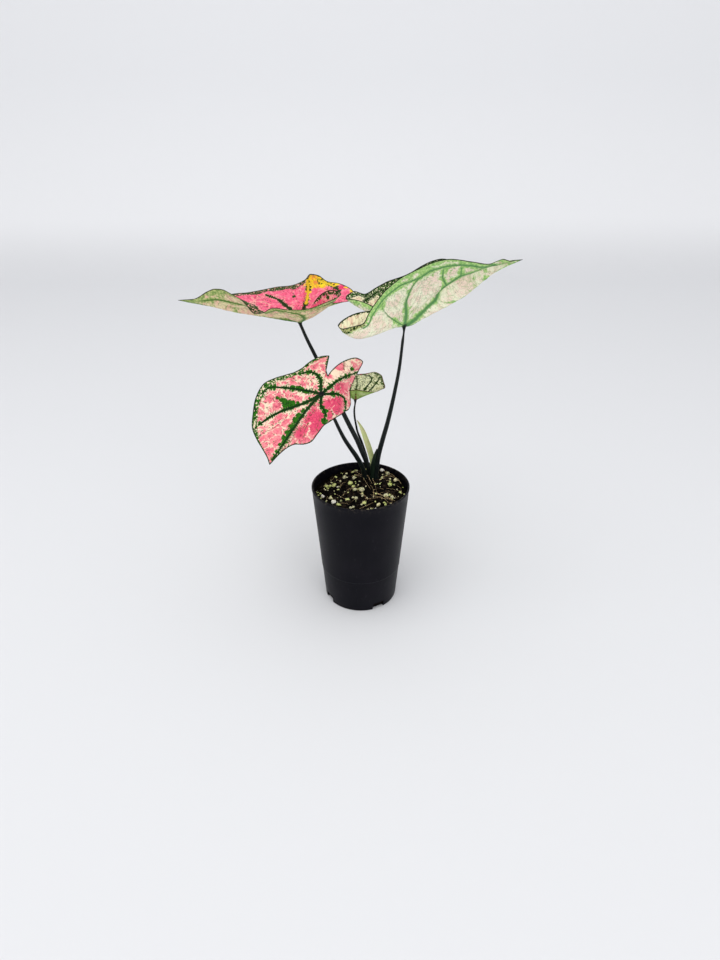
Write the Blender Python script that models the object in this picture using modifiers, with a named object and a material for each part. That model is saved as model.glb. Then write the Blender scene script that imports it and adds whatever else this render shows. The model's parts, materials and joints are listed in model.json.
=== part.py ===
"""A young caladium with four leaves in a round nursery pot.

The origin is the middle of the pot's foot, on the surface that it stands on. +Z is up, and the
plant is looked at from -Y. Lengths here are in millimetres and become metres through MM.
"""

import math

import bmesh
import bpy
import numpy as np
from mathutils import Vector, noise

MM = 0.001

# Driving sizes of the pot
RIM_RADIUS = 49.0
FOOT_RADIUS = 37.8
POT_HEIGHT = 131.0
WALL = 1.2
LIP_WALL = 1.8
LIP_HEIGHT = 3.0
FLOOR = 1.6
STEP_HEIGHT = 38.4
STEP_DEPTH = 0.45
NOTCH_WIDTH = 13.0
NOTCH_HEIGHT = 8.0
NOTCH_DEPTH = 5.0
NOTCH_CORNER = 2.5
NOTCH_BEARINGS = (28.0, 118.0, 208.0, 298.0)
POT_STEPS = 72
FLOOR_CORNER = 1.4
FOOT_CORNER = 1.2

# Driving sizes of the plant
GAP = 0.3
HOLE_GAP = 0.45
HOLE_SINK = 2.0
FOOT_CLEARANCE = 0.15
STEM_HEAD = 1.2
STEM_SPACING = 8.0
FLAP_SPACING = 6.0
SHEATH_SPACING = 7.0
SHEATH_SIDES = 12
BLADE_THICKNESS = 0.8
CROWN = (11.0, 26.0)
SOIL_EDGE_HEIGHT = 120.5
SOIL_MOUND = 7.0
SOIL_MOUND_RADIUS = 26.0
SOIL_RINGS = 15
SOIL_SPOKES = 52
GRAIN_SIZE = 5.5
GRAIN_RELIEF = 2.2
GRAIN_SEED = 4.0
HUMP_SIZE = 17.0
HUMP_RELIEF = 1.5
HUMP_SEED = 9.0
TUBER_CENTRE = (11.0, 26.0, 104.0)
TUBER_HALF_SIZES = (14.0, 12.0, 10.0)
HANDLE_PULL = 0.36

# Each row of a leaf is one strip of it, from its stalk to its margin: where the strip lies when the
# leaf is laid flat, its bearing as the leaf grows, the straight reach to the margin, the rise of
# that reach, and the strip's slope at the stalk and at the margin. Degrees, and millimetres for the
# reach. 0 is the tip, 180 is the notch between the two lobes, and the plus side lies to the left of
# someone who walks from the stalk to the tip. A leaf's turn is its heading, pitch and roll.
RIGHT_LEAF = {
    "seat": (39.3, 10.0, 287.8),
    "turn": (-9, 22, -25),
    "spokes": 56,
    "rings": 6,
    "rows": (
        (-180, -170, 25, 50, 42, 45),
        (-170, -158, 32, 40, 25, 50),
        (-160, -149, 49, 24, 8, 55),
        (-150, -141, 63, 10, 5, 70),
        (-138, -132, 62, 5, 4, 75),
        (-125, -120, 53, 4, 5, 25),
        (-112, -113, 49, 12, 14, 10),
        (-98, -103, 48, 21, 22, 20),
        (-80, -88, 50, 29, 27, 28),
        (-60, -66, 55, 33, 32, 28),
        (-42, -46, 62, 32, 34, 22),
        (-28, -32, 73, 26, 34, 10),
        (-16, -18, 82, 18, 34, 2),
        (-9, -9.5, 91, 13.5, 34, 0),
        (-5, -6, 100, 13, 34, 0),
        (-2, -2.5, 105, 11, 34, -8),
        (0, 0, 114, 9.5, 34, -18),
        (5, 5, 98, 12, 26, 15),
        (12, 10, 86, 18, 14, 60),
        (20, 17, 77, 30, 0, 90),
        (32, 26, 72, 45, -10, 110),
        (50, 45, 65, 54, -10, 115),
        (75, 72, 60, 58, -8, 110),
        (100, 100, 59, 60, 0, 100),
        (122, 126, 60, 55, 12, 90),
        (138, 144, 60, 50, 25, 80),
        (150, 160, 63, 51, 34, 70),
        (158, 173, 63, 47, 36, 65),
        (165, 182, 60, 43, 38, 55),
        (171, 189, 50, 46, 40, 55),
        (176, 191, 37, 49, 42, 50),
        (180, 190, 25, 50, 42, 45),
    ),
}
LEFT_LEAF = {
    "seat": (-56.5, 50.0, 281.2),
    "turn": (-175, 10, 0),
    "spokes": 64,
    "rings": 6,
    "rows": (
        (-180, -185, 15, 60, 60, 50),
        (-174, -180, 28, 46, 50, 35),
        (-168, -174, 42, 33, 40, 20),
        (-161, -166, 56, 27, 35, 10),
        (-152, -156, 63, 27, 30, 10),
        (-140, -145, 65, 29, 25, 25),
        (-128, -132, 64, 31, 25, 30),
        (-115, -118, 61, 32, 22, 30),
        (-106, -107, 62, 36, 15, 80),
        (-98, -98, 61, 36.5, 12, 90),
        (-91, -93, 58, 31, 15, 50),
        (-75, -77, 55, 23.5, 15, 25),
        (-60, -62, 56, 20, 12, 25),
        (-45, -48, 59, 15, 8, 22),
        (-32, -34, 63, 11.5, 5, 18),
        (-20, -21, 70, 9.5, 2, 18),
        (-10, -10, 80, 6.5, 0, 15),
        (-4, -4, 92, 4, 0, 8),
        (0, 0, 113, 2, 0, 0),
        (3, 4, 98, 5.5, 4, 20),
        (8, 9, 90, 12, 14, 35),
        (14, 13, 85, 16, 19, 45),
        (22, 20, 78, 18.5, 21, 45),
        (31, 29, 71, 18.5, 21, 30),
        (40, 37, 65, 15.5, 19, 0),
        (48, 44, 62, 12, 18, -20),
        (55, 51, 60.5, 14, 18, 0),
        (64, 60, 59.5, 21, 15, 30),
        (78, 75, 56, 23.5, 15, 35),
        (95, 92, 55.5, 27, 18, 40),
        (112, 110, 57, 33.5, 22, 50),
        (128, 126, 58, 38, 28, 50),
        (140, 137, 57, 41.5, 32, 50),
        (150, 142, 53, 47, 38, 50),
        (158, 141, 45, 54.5, 45, 60),
        (166, 140, 34, 59, 52, 60),
        (174, 152, 22, 61, 58, 60),
        (180, 175, 15, 60, 60, 50),
    ),
}
FRONT_LEAF = {
    "seat": (-35.4, -15.0, 233.4),
    "turn": (228, -35, -12),
    "spokes": 56,
    "rings": 6,
    "rows": (
        (-180, -165, 19, 6, 4, 6),
        (-172, -157, 26, 5, 4, 4),
        (-164, -157, 34, 4, 4, 0),
        (-156, -157, 40.5, 3, 4, 0),
        (-146, -146, 39, 6, 5, 0),
        (-132, -128, 36, 7, 5, 5),
        (-120, -114, 34, 7, 5, 8),
        (-108, -103, 35, 7.5, 5, 10),
        (-95, -91, 40, 8, 5, 12),
        (-82, -80, 48, 8.5, 5, 12),
        (-72, -72, 55, 8, 5, 12),
        (-58, -58, 61, 5, 5, 6),
        (-46, -45, 65, 2, 3, 2),
        (-34, -33, 70, -0.5, 0, 0),
        (-24, -24, 71, -0.5, 0, 0),
        (-14, -15, 72.5, 0, 0, 0),
        (-6, -6, 76, 0, 0, 0),
        (0, 0, 81, 1, 0, 5),
        (4, 0.5, 70, 0, 0, 0),
        (9, 2, 60, -2, -2, 0),
        (15, 5.5, 53, -5, -5, -5),
        (22, 12, 49, -11, -7, -15),
        (30, 17.5, 45, -15, -8, -20),
        (40, 24, 36, -19, -8, -30),
        (54, 35, 28, -25, -10, -40),
        (70, 60, 25, -40, -18, -60),
        (88, 95, 28, -50, -25, -70),
        (104, 118, 33, -54, -28, -75),
        (116, 133, 34, -51, -25, -70),
        (127, 147, 33, -45, -20, -60),
        (137, 157, 33, -38, -16, -50),
        (147, 163, 38, -25, -10, -35),
        (155, 166, 45, -16, -6, -20),
        (162, 168, 52, -9, -3, -5),
        (168, 173, 50, -5, 0, 0),
        (174, 182, 38, 1, 3, 5),
        (180, 195, 19, 6, 4, 6),
    ),
}
SMALL_LEAF = {
    "seat": (-4.4, 40.0, 205.2),
    "turn": (15, 15, 0),
    "spokes": 36,
    "rings": 5,
    "rows": (
        (-180, -180, 7, 45, 40, 40),
        (-165, -165, 14, 50, 45, 50),
        (-150, -145, 18, 58, 50, 65),
        (-130, -120, 17, 62, 52, 70),
        (-100, -95, 16.5, 62, 50, 70),
        (-75, -72, 18, 52, 40, 60),
        (-55, -52, 21, 32, 26, 35),
        (-38, -36, 25, 17, 18, 12),
        (-20, -18, 28, 10, 15, 5),
        (-8, -6, 32, 5, 12, -10),
        (0, 3, 33.5, 4, 12, -25),
        (8, 10, 35, 9, 14, -20),
        (20, 19, 38, 15.5, 18, -10),
        (35, 32, 38.5, 18.5, 25, 0),
        (55, 46, 36, 19, 30, 0),
        (80, 63, 33, 24, 35, 10),
        (105, 80, 29, 31, 38, 15),
        (130, 100, 26, 37, 40, 25),
        (150, 125, 22, 42, 40, 30),
        (167, 150, 15, 45, 40, 35),
        (180, 180, 7, 45, 40, 40),
    ),
}

# Each stalk's route, from under its leaf down into the soil: x, y, z and the stalk's radius there
RIGHT_STALK = (
    (38.5, 10.4, 273, 1.35),
    (35.9, 12.1, 244, 1.6),
    (33.5, 13.2, 228, 1.75),
    (29.9, 14.7, 207, 2),
    (26.4, 16.4, 189, 2.2),
    (22.2, 17.9, 171, 2.4),
    (18.4, 19.8, 152.5, 2.55),
    (16.5, 21.3, 133, 2.65),
    (16.4, 21.7, 122, 2.65),
)
LEFT_STALK = (
    (-54.6, 49.6, 275, 1.5),
    (-50.9, 48.5, 266, 1.6),
    (-42.7, 46.5, 248.5, 1.8),
    (-33, 43.5, 227, 2),
    (-23.6, 40.3, 207, 2.15),
    (-15, 37.4, 189, 2.3),
    (-9.1, 34.9, 177, 2.4),
    (-2.8, 32.4, 164.5, 2.45),
    (2.3, 30.2, 152, 2.45),
    (6, 29.1, 143, 2.45),
    (8.5, 28.2, 135.5, 2.5),
    (9.6, 27.6, 128, 2.5),
    (10, 27.4, 120, 2.5),
)
FRONT_STALK = (
    (-31.2, -12.7, 223.5, 1.35),
    (-25.6, -8.6, 209, 1.5),
    (-20.8, -4.1, 195, 1.7),
    (-14.8, 1.1, 179.5, 1.95),
    (-9.8, 5.4, 169, 2.15),
    (-4.3, 9.8, 158, 2.35),
    (-0.5, 13.5, 149, 2.4),
    (2.4, 17, 140.5, 2.45),
    (4.1, 20, 132, 2.45),
    (4.8, 21.8, 121, 2.45),
)
SMALL_STALK = (
    (-5.4, 40, 194.5, 0.95),
    (-5.2, 40, 188, 1),
    (-3.9, 39.8, 179, 1),
    (-2.2, 39.2, 170.5, 1.1),
    (1.3, 37.9, 161.5, 1.2),
    (3.9, 36.8, 153.5, 1.3),
    (6.6, 35.8, 144.5, 1.35),
    (8.3, 34.9, 137, 1.35),
    (9.1, 34, 129, 1.35),
    (9.3, 33.5, 120, 1.35),
)

# The dark flap that wraps the foot of the right stalk, and the pale sheath leaf beside it. The
# sheath's last number is half of its width
FLAP = (
    (16.8, 18.6, 161, 0.5),
    (15.4, 19, 155, 1.5),
    (13.9, 19.5, 148, 2.1),
    (12.9, 20.3, 138.5, 2.35),
    (12.6, 20.8, 129, 2.3),
    (12.7, 21.2, 119.5, 2.3),
)
SHEATH = (
    (-2.5, 36, 184.7, 0.45),
    (-0.2, 35.6, 181, 1.2),
    (2.5, 35.2, 175.5, 2.1),
    (6.3, 33.8, 165, 2.8),
    (9.8, 32.6, 154, 3),
    (12.5, 31.7, 143, 2.8),
    (14, 31.2, 133, 2.6),
    (14.5, 30.8, 119, 2.4),
)
SHEATH_FLATNESS = 0.32

COLOURS = {
    "pot": ((0.012, 0.012, 0.017), 0.42),
    "soil": ((0.022, 0.014, 0.009), 0.95),
    "tuber": ((0.13, 0.08, 0.045), 0.85),
    "stalk": ((0.012, 0.022, 0.02), 0.4),
    "sheath": ((0.55, 0.62, 0.3), 0.5),
    "blade_right": ((0.42, 0.56, 0.33), 0.5),
    "blade_left": ((0.8, 0.14, 0.24), 0.5),
    "blade_front": ((0.78, 0.3, 0.34), 0.5),
    "blade_small": ((0.55, 0.62, 0.4), 0.5),
}


def clear_scene():
    for obj in list(bpy.data.objects):
        bpy.data.objects.remove(obj)


def new_collection(name):
    collection = bpy.data.collections.new(name)
    bpy.context.scene.collection.children.link(collection)
    return collection


def add_object(name, data, collection):
    obj = bpy.data.objects.new(name, data)
    collection.objects.link(obj)
    return obj


def mesh_object(name, bm, collection):
    bmesh.ops.recalc_face_normals(bm, faces=bm.faces)
    mesh = bpy.data.meshes.new(name)
    bm.to_mesh(mesh)
    bm.free()
    return add_object(name, mesh, collection)


def paint(obj, look):
    colour, roughness = COLOURS[look]
    material = bpy.data.materials.get(look) or bpy.data.materials.new(look)
    material.use_nodes = True
    shader = material.node_tree.nodes["Principled BSDF"]
    shader.inputs["Base Color"].default_value = (*colour, 1)
    shader.inputs["Roughness"].default_value = roughness
    shader.inputs["Metallic"].default_value = 0.0
    obj.data.materials.clear()
    obj.data.materials.append(material)


def shade_round(obj, sharp_degrees=40):
    obj.data.shade_smooth()
    obj.data.set_sharp_from_angle(angle=math.radians(sharp_degrees))


def as_cutter(obj):
    obj.hide_render = True
    obj.display_type = "WIRE"
    return obj


def cut(obj, cutter_collection):
    boolean = obj.modifiers.new("cut", "BOOLEAN")
    boolean.operation = "DIFFERENCE"
    boolean.solver = "EXACT"
    boolean.operand_type = "COLLECTION"
    boolean.collection = cutter_collection


def wall_radius(z):
    """Outer radius of the pot's plain wall at a height."""
    return FOOT_RADIUS + (RIM_RADIUS - FOOT_RADIUS) * z / POT_HEIGHT


def inner_radius(z):
    return wall_radius(z) - WALL


def pot_profile():
    """From the middle of the floor's upper face, up inside, over the lip and down outside."""
    lip_foot = POT_HEIGHT - LIP_HEIGHT
    bend = FLOOR + FLOOR_CORNER
    inside = [(0, FLOOR), (inner_radius(FLOOR) - FLOOR_CORNER, FLOOR), (inner_radius(bend), bend)]
    inside += [(inner_radius(z), z) for z in (STEP_HEIGHT, 80.0, POT_HEIGHT - 1.0)]
    lip = [(RIM_RADIUS - LIP_WALL + 0.4, POT_HEIGHT - 0.2), (RIM_RADIUS - 1.0, POT_HEIGHT)]
    lip += [(RIM_RADIUS - 0.3, POT_HEIGHT - 0.3), (RIM_RADIUS, POT_HEIGHT - 1.0)]
    lip += [(RIM_RADIUS - 0.1, lip_foot + 0.4), (wall_radius(lip_foot) - 0.35, lip_foot)]
    above_step = wall_radius(STEP_HEIGHT) + STEP_DEPTH / 2
    below_step = wall_radius(STEP_HEIGHT) - STEP_DEPTH / 2
    outside = [(wall_radius(80.0), 80.0), (above_step, STEP_HEIGHT + 0.6)]
    outside += [(above_step - 0.1, STEP_HEIGHT), (below_step, STEP_HEIGHT - 0.4)]
    outside += [(FOOT_RADIUS, FOOT_CORNER), (FOOT_RADIUS - 0.3 * FOOT_CORNER, 0.3 * FOOT_CORNER)]
    outside += [(FOOT_RADIUS - FOOT_CORNER, 0), (0, 0)]
    return inside + lip + outside


def turned(name, profile, steps, collection):
    mesh = bpy.data.meshes.new(name)
    points = [(radius * MM, 0, z * MM) for radius, z in profile]
    mesh.from_pydata(points, [(i, i + 1) for i in range(len(points) - 1)], [])
    obj = add_object(name, mesh, collection)
    screw = obj.modifiers.new("turn", "SCREW")
    screw.steps = steps
    screw.render_steps = steps
    screw.use_merge_vertices = True
    screw.merge_threshold = 0.00001
    screw.use_smooth_shade = True
    return obj


def make_pot(parts, notch_cutters):
    pot = turned("pot", pot_profile(), POT_STEPS, parts)
    for number, bearing in enumerate(NOTCH_BEARINGS):
        bm = bmesh.new()
        bmesh.ops.create_cube(bm, size=1)
        size = (NOTCH_WIDTH, 2 * NOTCH_DEPTH, 2 * NOTCH_HEIGHT)
        bmesh.ops.scale(bm, vec=[side * MM for side in size], verts=bm.verts)
        upright = [edge for edge in bm.edges if abs(edge.verts[0].co.y - edge.verts[1].co.y) > 0.001]
        corner = NOTCH_CORNER * MM
        bmesh.ops.bevel(bm, geom=upright, offset=corner, segments=3, affect="EDGES", profile=0.5)
        notch = mesh_object(f"notch_{number + 1}", bm, notch_cutters)
        turn = math.radians(bearing)
        middle = (FOOT_RADIUS + 1.0) * MM
        notch.location = (middle * math.sin(turn), -middle * math.cos(turn), 0)
        notch.rotation_euler = (0, 0, turn)
        as_cutter(notch)
    cut(pot, notch_cutters)
    paint(pot, "pot")
    return pot


def monotone_curve(xs, ys, x):
    """A smooth curve through the points (xs, ys) that never overshoots them, read at x."""
    xs = np.asarray(xs, float)
    ys = np.asarray(ys, float)
    steps = np.diff(xs)
    slopes = np.diff(ys) / steps
    tangents = np.zeros(len(xs))
    tangents[0] = slopes[0]
    tangents[-1] = slopes[-1]
    for i in range(1, len(xs) - 1):
        if slopes[i - 1] * slopes[i] > 0:
            before = 2 * steps[i] + steps[i - 1]
            after = steps[i] + 2 * steps[i - 1]
            tangents[i] = (before + after) / (before / slopes[i - 1] + after / slopes[i])
    i = np.clip(np.searchsorted(xs, x, side="right") - 1, 0, len(steps) - 1)
    t = (x - xs[i]) / steps[i]
    return (
        (1 + 2 * t) * (1 - t) ** 2 * ys[i]
        + t * (1 - t) ** 2 * steps[i] * tangents[i]
        + t * t * (3 - 2 * t) * ys[i + 1]
        + t * t * (t - 1) * steps[i] * tangents[i + 1]
    )


def leaf_axes(leaf):
    """Unit vectors towards the tip, to the left, and out of the leaf's upper side."""
    heading, pitch, roll = (math.radians(angle) for angle in leaf["turn"])
    level = math.cos(pitch)
    tip = np.array([level * math.cos(heading), level * math.sin(heading), math.sin(pitch)])
    side = np.array([-math.sin(heading), math.cos(heading), 0.0])
    top = np.cross(tip, side)
    left = math.cos(roll) * side + math.sin(roll) * top
    return tip, left, np.cross(tip, left)


def strips(leaf, flat):
    """Direction, reach, rise and both slopes of the strips that lie at these flat bearings."""
    rows = np.array(leaf["rows"], float)
    right = rows[rows[:, 0] <= 0]
    left = rows[rows[:, 0] >= 0]
    values = []
    for column in range(1, 6):
        on_right = monotone_curve(right[:, 0], right[:, column], np.minimum(flat, 0))
        on_left = monotone_curve(left[:, 0], left[:, column], np.maximum(flat, 0))
        values.append(np.where(flat < 0, on_right, on_left))
    bearing, reach, rise, first, last = values
    tip, side, top = leaf_axes(leaf)
    bearing = np.radians(bearing)[:, None]
    out = np.cos(bearing) * tip + np.sin(bearing) * side
    return out, reach, np.radians(rise), np.radians(first), np.radians(last), top


def even_strips(leaf):
    """Flat bearings that space the strips evenly along the margin of each half."""
    dense = np.linspace(-180, 180, 1441)
    out, reach, rise, _, _, top = strips(leaf, dense)
    margin = (reach * np.cos(rise))[:, None] * out + (reach * np.sin(rise))[:, None] * top
    run = np.concatenate([[0], np.cumsum(np.linalg.norm(np.diff(margin, axis=0), axis=1))])
    tip = np.interp(0, dense, run)
    half = leaf["spokes"] // 2
    wanted = np.concatenate([np.linspace(0, tip, half + 1), np.linspace(tip, run[-1], half + 1)[1:-1]])
    return np.interp(wanted, run, dense)


def blade_points(leaf):
    """Points of the blade's middle surface, one row a strip, from the stalk to the margin."""
    out, reach, rise, first, last, top = strips(leaf, even_strips(leaf))
    handle = HANDLE_PULL * reach
    t = np.linspace(0, 1, leaf["rings"] + 1)
    weights = ((1 - t) ** 3, 3 * t * (1 - t) ** 2, 3 * t * t * (1 - t), t**3)
    ends = (np.cos(rise) * reach, np.sin(rise) * reach)
    level = (0 * reach, handle * np.cos(first), ends[0] - handle * np.cos(last), ends[0])
    lift = (0 * reach, handle * np.sin(first), ends[1] - handle * np.sin(last), ends[1])
    along = sum(np.outer(point, weight) for point, weight in zip(level, weights))
    above = sum(np.outer(point, weight) for point, weight in zip(lift, weights))
    return np.array(leaf["seat"]) + along[:, :, None] * out[:, None, :] + above[:, :, None] * top


def make_blade(name, leaf, parts):
    points = blade_points(leaf)
    spokes, rings = points.shape[0], points.shape[1] - 1
    bm = bmesh.new()
    middle = bm.verts.new(Vector(leaf["seat"]) * MM)
    verts = [[bm.verts.new(Vector(point) * MM) for point in row[1:]] for row in points]
    for i in range(spokes):
        here, there = verts[i], verts[(i + 1) % spokes]
        bm.faces.new((middle, here[0], there[0]))
        for j in range(rings - 1):
            bm.faces.new((here[j], here[j + 1], there[j + 1], there[j]))
    bmesh.ops.triangulate(bm, faces=bm.faces)
    mesh = bpy.data.meshes.new(name)
    bm.to_mesh(mesh)
    bm.free()
    blade = add_object(name, mesh, parts)
    mesh.shade_smooth()
    solidify = blade.modifiers.new("thickness", "SOLIDIFY")
    solidify.thickness = BLADE_THICKNESS * MM
    solidify.offset = 0
    paint(blade, name)
    return blade


def smooth_route(points, spacing):
    """A smooth curve through the points, with a point about every so many millimetres."""
    points = np.array(points, float)
    run = np.concatenate([[0], np.cumsum(np.linalg.norm(np.diff(points[:, :3], axis=0), axis=1))])
    places = np.linspace(0, run[-1], max(4, int(run[-1] / spacing)) + 1)
    tangents = np.gradient(points, run, axis=0)
    i = np.clip(np.searchsorted(run, places, side="right") - 1, 0, len(run) - 2)
    step = (run[i + 1] - run[i])[:, None]
    t = ((places - run[i])[:, None]) / step
    return (
        (1 + 2 * t) * (1 - t) ** 2 * points[i]
        + t * (1 - t) ** 2 * step * tangents[i]
        + t * t * (3 - 2 * t) * points[i + 1]
        + t * t * (t - 1) * step * tangents[i + 1]
    )


def tube(name, route, collection, spacing=STEM_SPACING, wider=0.0):
    """A round stem along a route of x, y, z and radius, made a mesh with welded caps."""
    curve = bpy.data.curves.new(name, "CURVE")
    curve.dimensions = "3D"
    curve.bevel_depth = MM
    curve.bevel_resolution = 2
    curve.use_fill_caps = True
    places = smooth_route(route, spacing)
    spline = curve.splines.new("POLY")
    spline.points.add(len(places) - 1)
    for point, (x, y, z, radius) in zip(spline.points, places):
        point.co = (x * MM, y * MM, z * MM, 1)
        point.radius = radius + wider
    line = add_object(name + "_line", curve, collection)
    bpy.context.view_layer.update()
    graph = bpy.context.evaluated_depsgraph_get()
    mesh = bpy.data.meshes.new_from_object(line.evaluated_get(graph))
    bm = bmesh.new()
    bm.from_mesh(mesh)
    bmesh.ops.remove_doubles(bm, verts=bm.verts, dist=0.00001)
    bmesh.ops.recalc_face_normals(bm, faces=bm.faces)
    bm.to_mesh(mesh)
    bm.free()
    obj = add_object(name, mesh, collection)
    obj.matrix_world = line.matrix_world.copy()
    bpy.data.objects.remove(line)
    return obj


def tuber_top(x, y, grown=0.0):
    """Height of the tuber's upper side above a point, with the tuber grown by so much."""
    across = [half + grown for half in TUBER_HALF_SIZES]
    away = ((x - TUBER_CENTRE[0]) / across[0]) ** 2 + ((y - TUBER_CENTRE[1]) / across[1]) ** 2
    return TUBER_CENTRE[2] + across[2] * math.sqrt(max(0.0, 1 - away))


def down_to_tuber(route):
    """The route with a last point just clear of the tuber, below its last one."""
    x, y, _, radius = route[-1]
    nearest = max(
        tuber_top(x + radius * math.cos(turn), y + radius * math.sin(turn), GAP)
        for turn in np.linspace(0, 2 * math.pi, 16, endpoint=False)
    )
    return tuple(route) + ((x, y, nearest + FOOT_CLEARANCE, radius),)


def under_blade(leaf, radius):
    """The top of a stalk: it turns square to its leaf and stops just clear of it."""
    _, _, top = leaf_axes(leaf)
    seat = np.array(leaf["seat"])
    steepest_fall = max(0.0, -min(row[4] for row in leaf["rows"]))
    clear = BLADE_THICKNESS / 2 + GAP + (GAP + math.tan(math.radians(steepest_fall))) * radius
    return (
        (*(seat - clear * top), radius),
        (*(seat - (clear + STEM_HEAD) * top), radius),
    )


def stalk_route(leaf, route):
    return under_blade(leaf, route[0][3]) + down_to_tuber(route)


def ellipsoid(name, grown, collection):
    bm = bmesh.new()
    bmesh.ops.create_uvsphere(bm, u_segments=24, v_segments=12, radius=1)
    halves = [(half + grown) * MM for half in TUBER_HALF_SIZES]
    bmesh.ops.scale(bm, vec=halves, verts=bm.verts)
    bmesh.ops.translate(bm, vec=Vector(TUBER_CENTRE) * MM, verts=bm.verts)
    return mesh_object(name, bm, collection)


def flat_stem(name, route, collection, wider=0.0):
    """A pointed strip of oval section along a route of x, y, z and half width."""
    bm = bmesh.new()
    loops = []
    for x, y, z, half in smooth_route(route, SHEATH_SPACING):
        loop = []
        for side in range(SHEATH_SIDES):
            turn = 2 * math.pi * side / SHEATH_SIDES
            across = (half + wider) * math.cos(turn)
            through = (SHEATH_FLATNESS * half + wider) * math.sin(turn)
            loop.append(bm.verts.new(Vector((x + across, y + through, z)) * MM))
        loops.append(loop)
    for upper, lower in zip(loops, loops[1:]):
        for side in range(SHEATH_SIDES):
            after = (side + 1) % SHEATH_SIDES
            bm.faces.new((upper[side], upper[after], lower[after], lower[side]))
    bm.faces.new(loops[0])
    bm.faces.new(loops[-1])
    return mesh_object(name, bm, collection)


def join_flap(stalk, cutters):
    flap = as_cutter(tube("flap", down_to_tuber(FLAP), cutters, spacing=FLAP_SPACING))
    boolean = stalk.modifiers.new("flap", "BOOLEAN")
    boolean.operation = "UNION"
    boolean.solver = "EXACT"
    boolean.object = flap


def soil_height(x, y):
    """Height of the mix: a low mound round the crown, with the relief of its grains."""
    away = math.hypot(x - CROWN[0], y - CROWN[1])
    mound = SOIL_MOUND * math.exp(-((away / SOIL_MOUND_RADIUS) ** 2))
    grains = noise.noise(Vector((x / GRAIN_SIZE, y / GRAIN_SIZE, GRAIN_SEED)))
    humps = noise.noise(Vector((x / HUMP_SIZE, y / HUMP_SIZE, HUMP_SEED)))
    return SOIL_EDGE_HEIGHT + mound + GRAIN_RELIEF * grains + HUMP_RELIEF * humps


def level_loop(bm, radius, height_at):
    """A ring of vertices round the pot's axis, each at its own height."""
    loop = []
    for spoke in range(SOIL_SPOKES):
        turn = 2 * math.pi * spoke / SOIL_SPOKES
        x, y = radius * math.cos(turn), radius * math.sin(turn)
        loop.append(bm.verts.new(Vector((x, y, height_at(x, y))) * MM))
    return loop


def make_soil(parts, cutters):
    bm = bmesh.new()
    edge = inner_radius(SOIL_EDGE_HEIGHT) - GAP
    middle = bm.verts.new(Vector((0, 0, soil_height(0, 0))) * MM)
    loops = []
    for ring in range(1, SOIL_RINGS):
        loops.append(level_loop(bm, edge * ring / SOIL_RINGS, soil_height))
    loops.append(level_loop(bm, edge, lambda x, y: SOIL_EDGE_HEIGHT))
    foot = FLOOR + GAP
    bend = foot + FLOOR_CORNER
    loops.append(level_loop(bm, inner_radius(bend) - GAP, lambda x, y: bend))
    loops.append(level_loop(bm, inner_radius(foot) - GAP - FLOOR_CORNER, lambda x, y: foot))
    for spoke in range(SOIL_SPOKES):
        after = (spoke + 1) % SOIL_SPOKES
        bm.faces.new((middle, loops[0][spoke], loops[0][after]))
        for inner, outer in zip(loops, loops[1:]):
            bm.faces.new((inner[spoke], outer[spoke], outer[after], inner[after]))
    bm.faces.new(loops[-1])
    bmesh.ops.triangulate(bm, faces=bm.faces)
    soil = mesh_object("soil", bm, parts)
    cut(soil, cutters)
    paint(soil, "soil")
    return soil


def bury(route):
    """The same route with its foot pushed into the tuber's hollow, for a hole in the soil."""
    x, y, z, radius = route[-1]
    return tuple(route) + ((x, y, z - HOLE_SINK, radius),)


def main():
    clear_scene()
    parts = new_collection("potted_caladium")
    notch_cutters = new_collection("notch_cutters")
    soil_cutters = new_collection("soil_cutters")
    flap_shapes = new_collection("flap_shapes")

    make_pot(parts, notch_cutters)
    tuber = ellipsoid("tuber", 0.0, parts)
    paint(tuber, "tuber")
    shade_round(tuber)

    as_cutter(ellipsoid("tuber_hollow", GAP, soil_cutters))
    leaves = (
        ("right", RIGHT_LEAF, RIGHT_STALK),
        ("left", LEFT_LEAF, LEFT_STALK),
        ("front", FRONT_LEAF, FRONT_STALK),
        ("small", SMALL_LEAF, SMALL_STALK),
    )
    for place, leaf, path in leaves:
        route = stalk_route(leaf, path)
        stalk = tube(f"stalk_{place}", route, parts)
        if place == "right":
            join_flap(stalk, flap_shapes)
        paint(stalk, "stalk")
        shade_round(stalk)
        make_blade(f"blade_{place}", leaf, parts)
        as_cutter(tube(f"hole_{place}", bury(route), soil_cutters, wider=HOLE_GAP))
    flap_hole = tube("hole_flap", bury(down_to_tuber(FLAP)), soil_cutters, FLAP_SPACING, HOLE_GAP)
    as_cutter(flap_hole)
    sheath_route = down_to_tuber(SHEATH)
    sheath = flat_stem("sheath", sheath_route, parts)
    paint(sheath, "sheath")
    shade_round(sheath)
    as_cutter(flat_stem("hole_sheath", bury(sheath_route), soil_cutters, HOLE_GAP))
    make_soil(parts, soil_cutters)


main()
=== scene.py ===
"""The looks of the potted caladium: its leaves, stalks, potting mix and pot, with light and camera.

The frame is the solids' own: the origin is the middle of the pot's foot, on the surface that it
stands on, +Z is up, and the plant is looked at from -Y. Lengths are in millimetres and become
metres through MM.
"""

import json
import math

import bmesh
import bpy
import numpy as np
from mathutils import Matrix, Vector, noise
from mathutils.kdtree import KDTree

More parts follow.
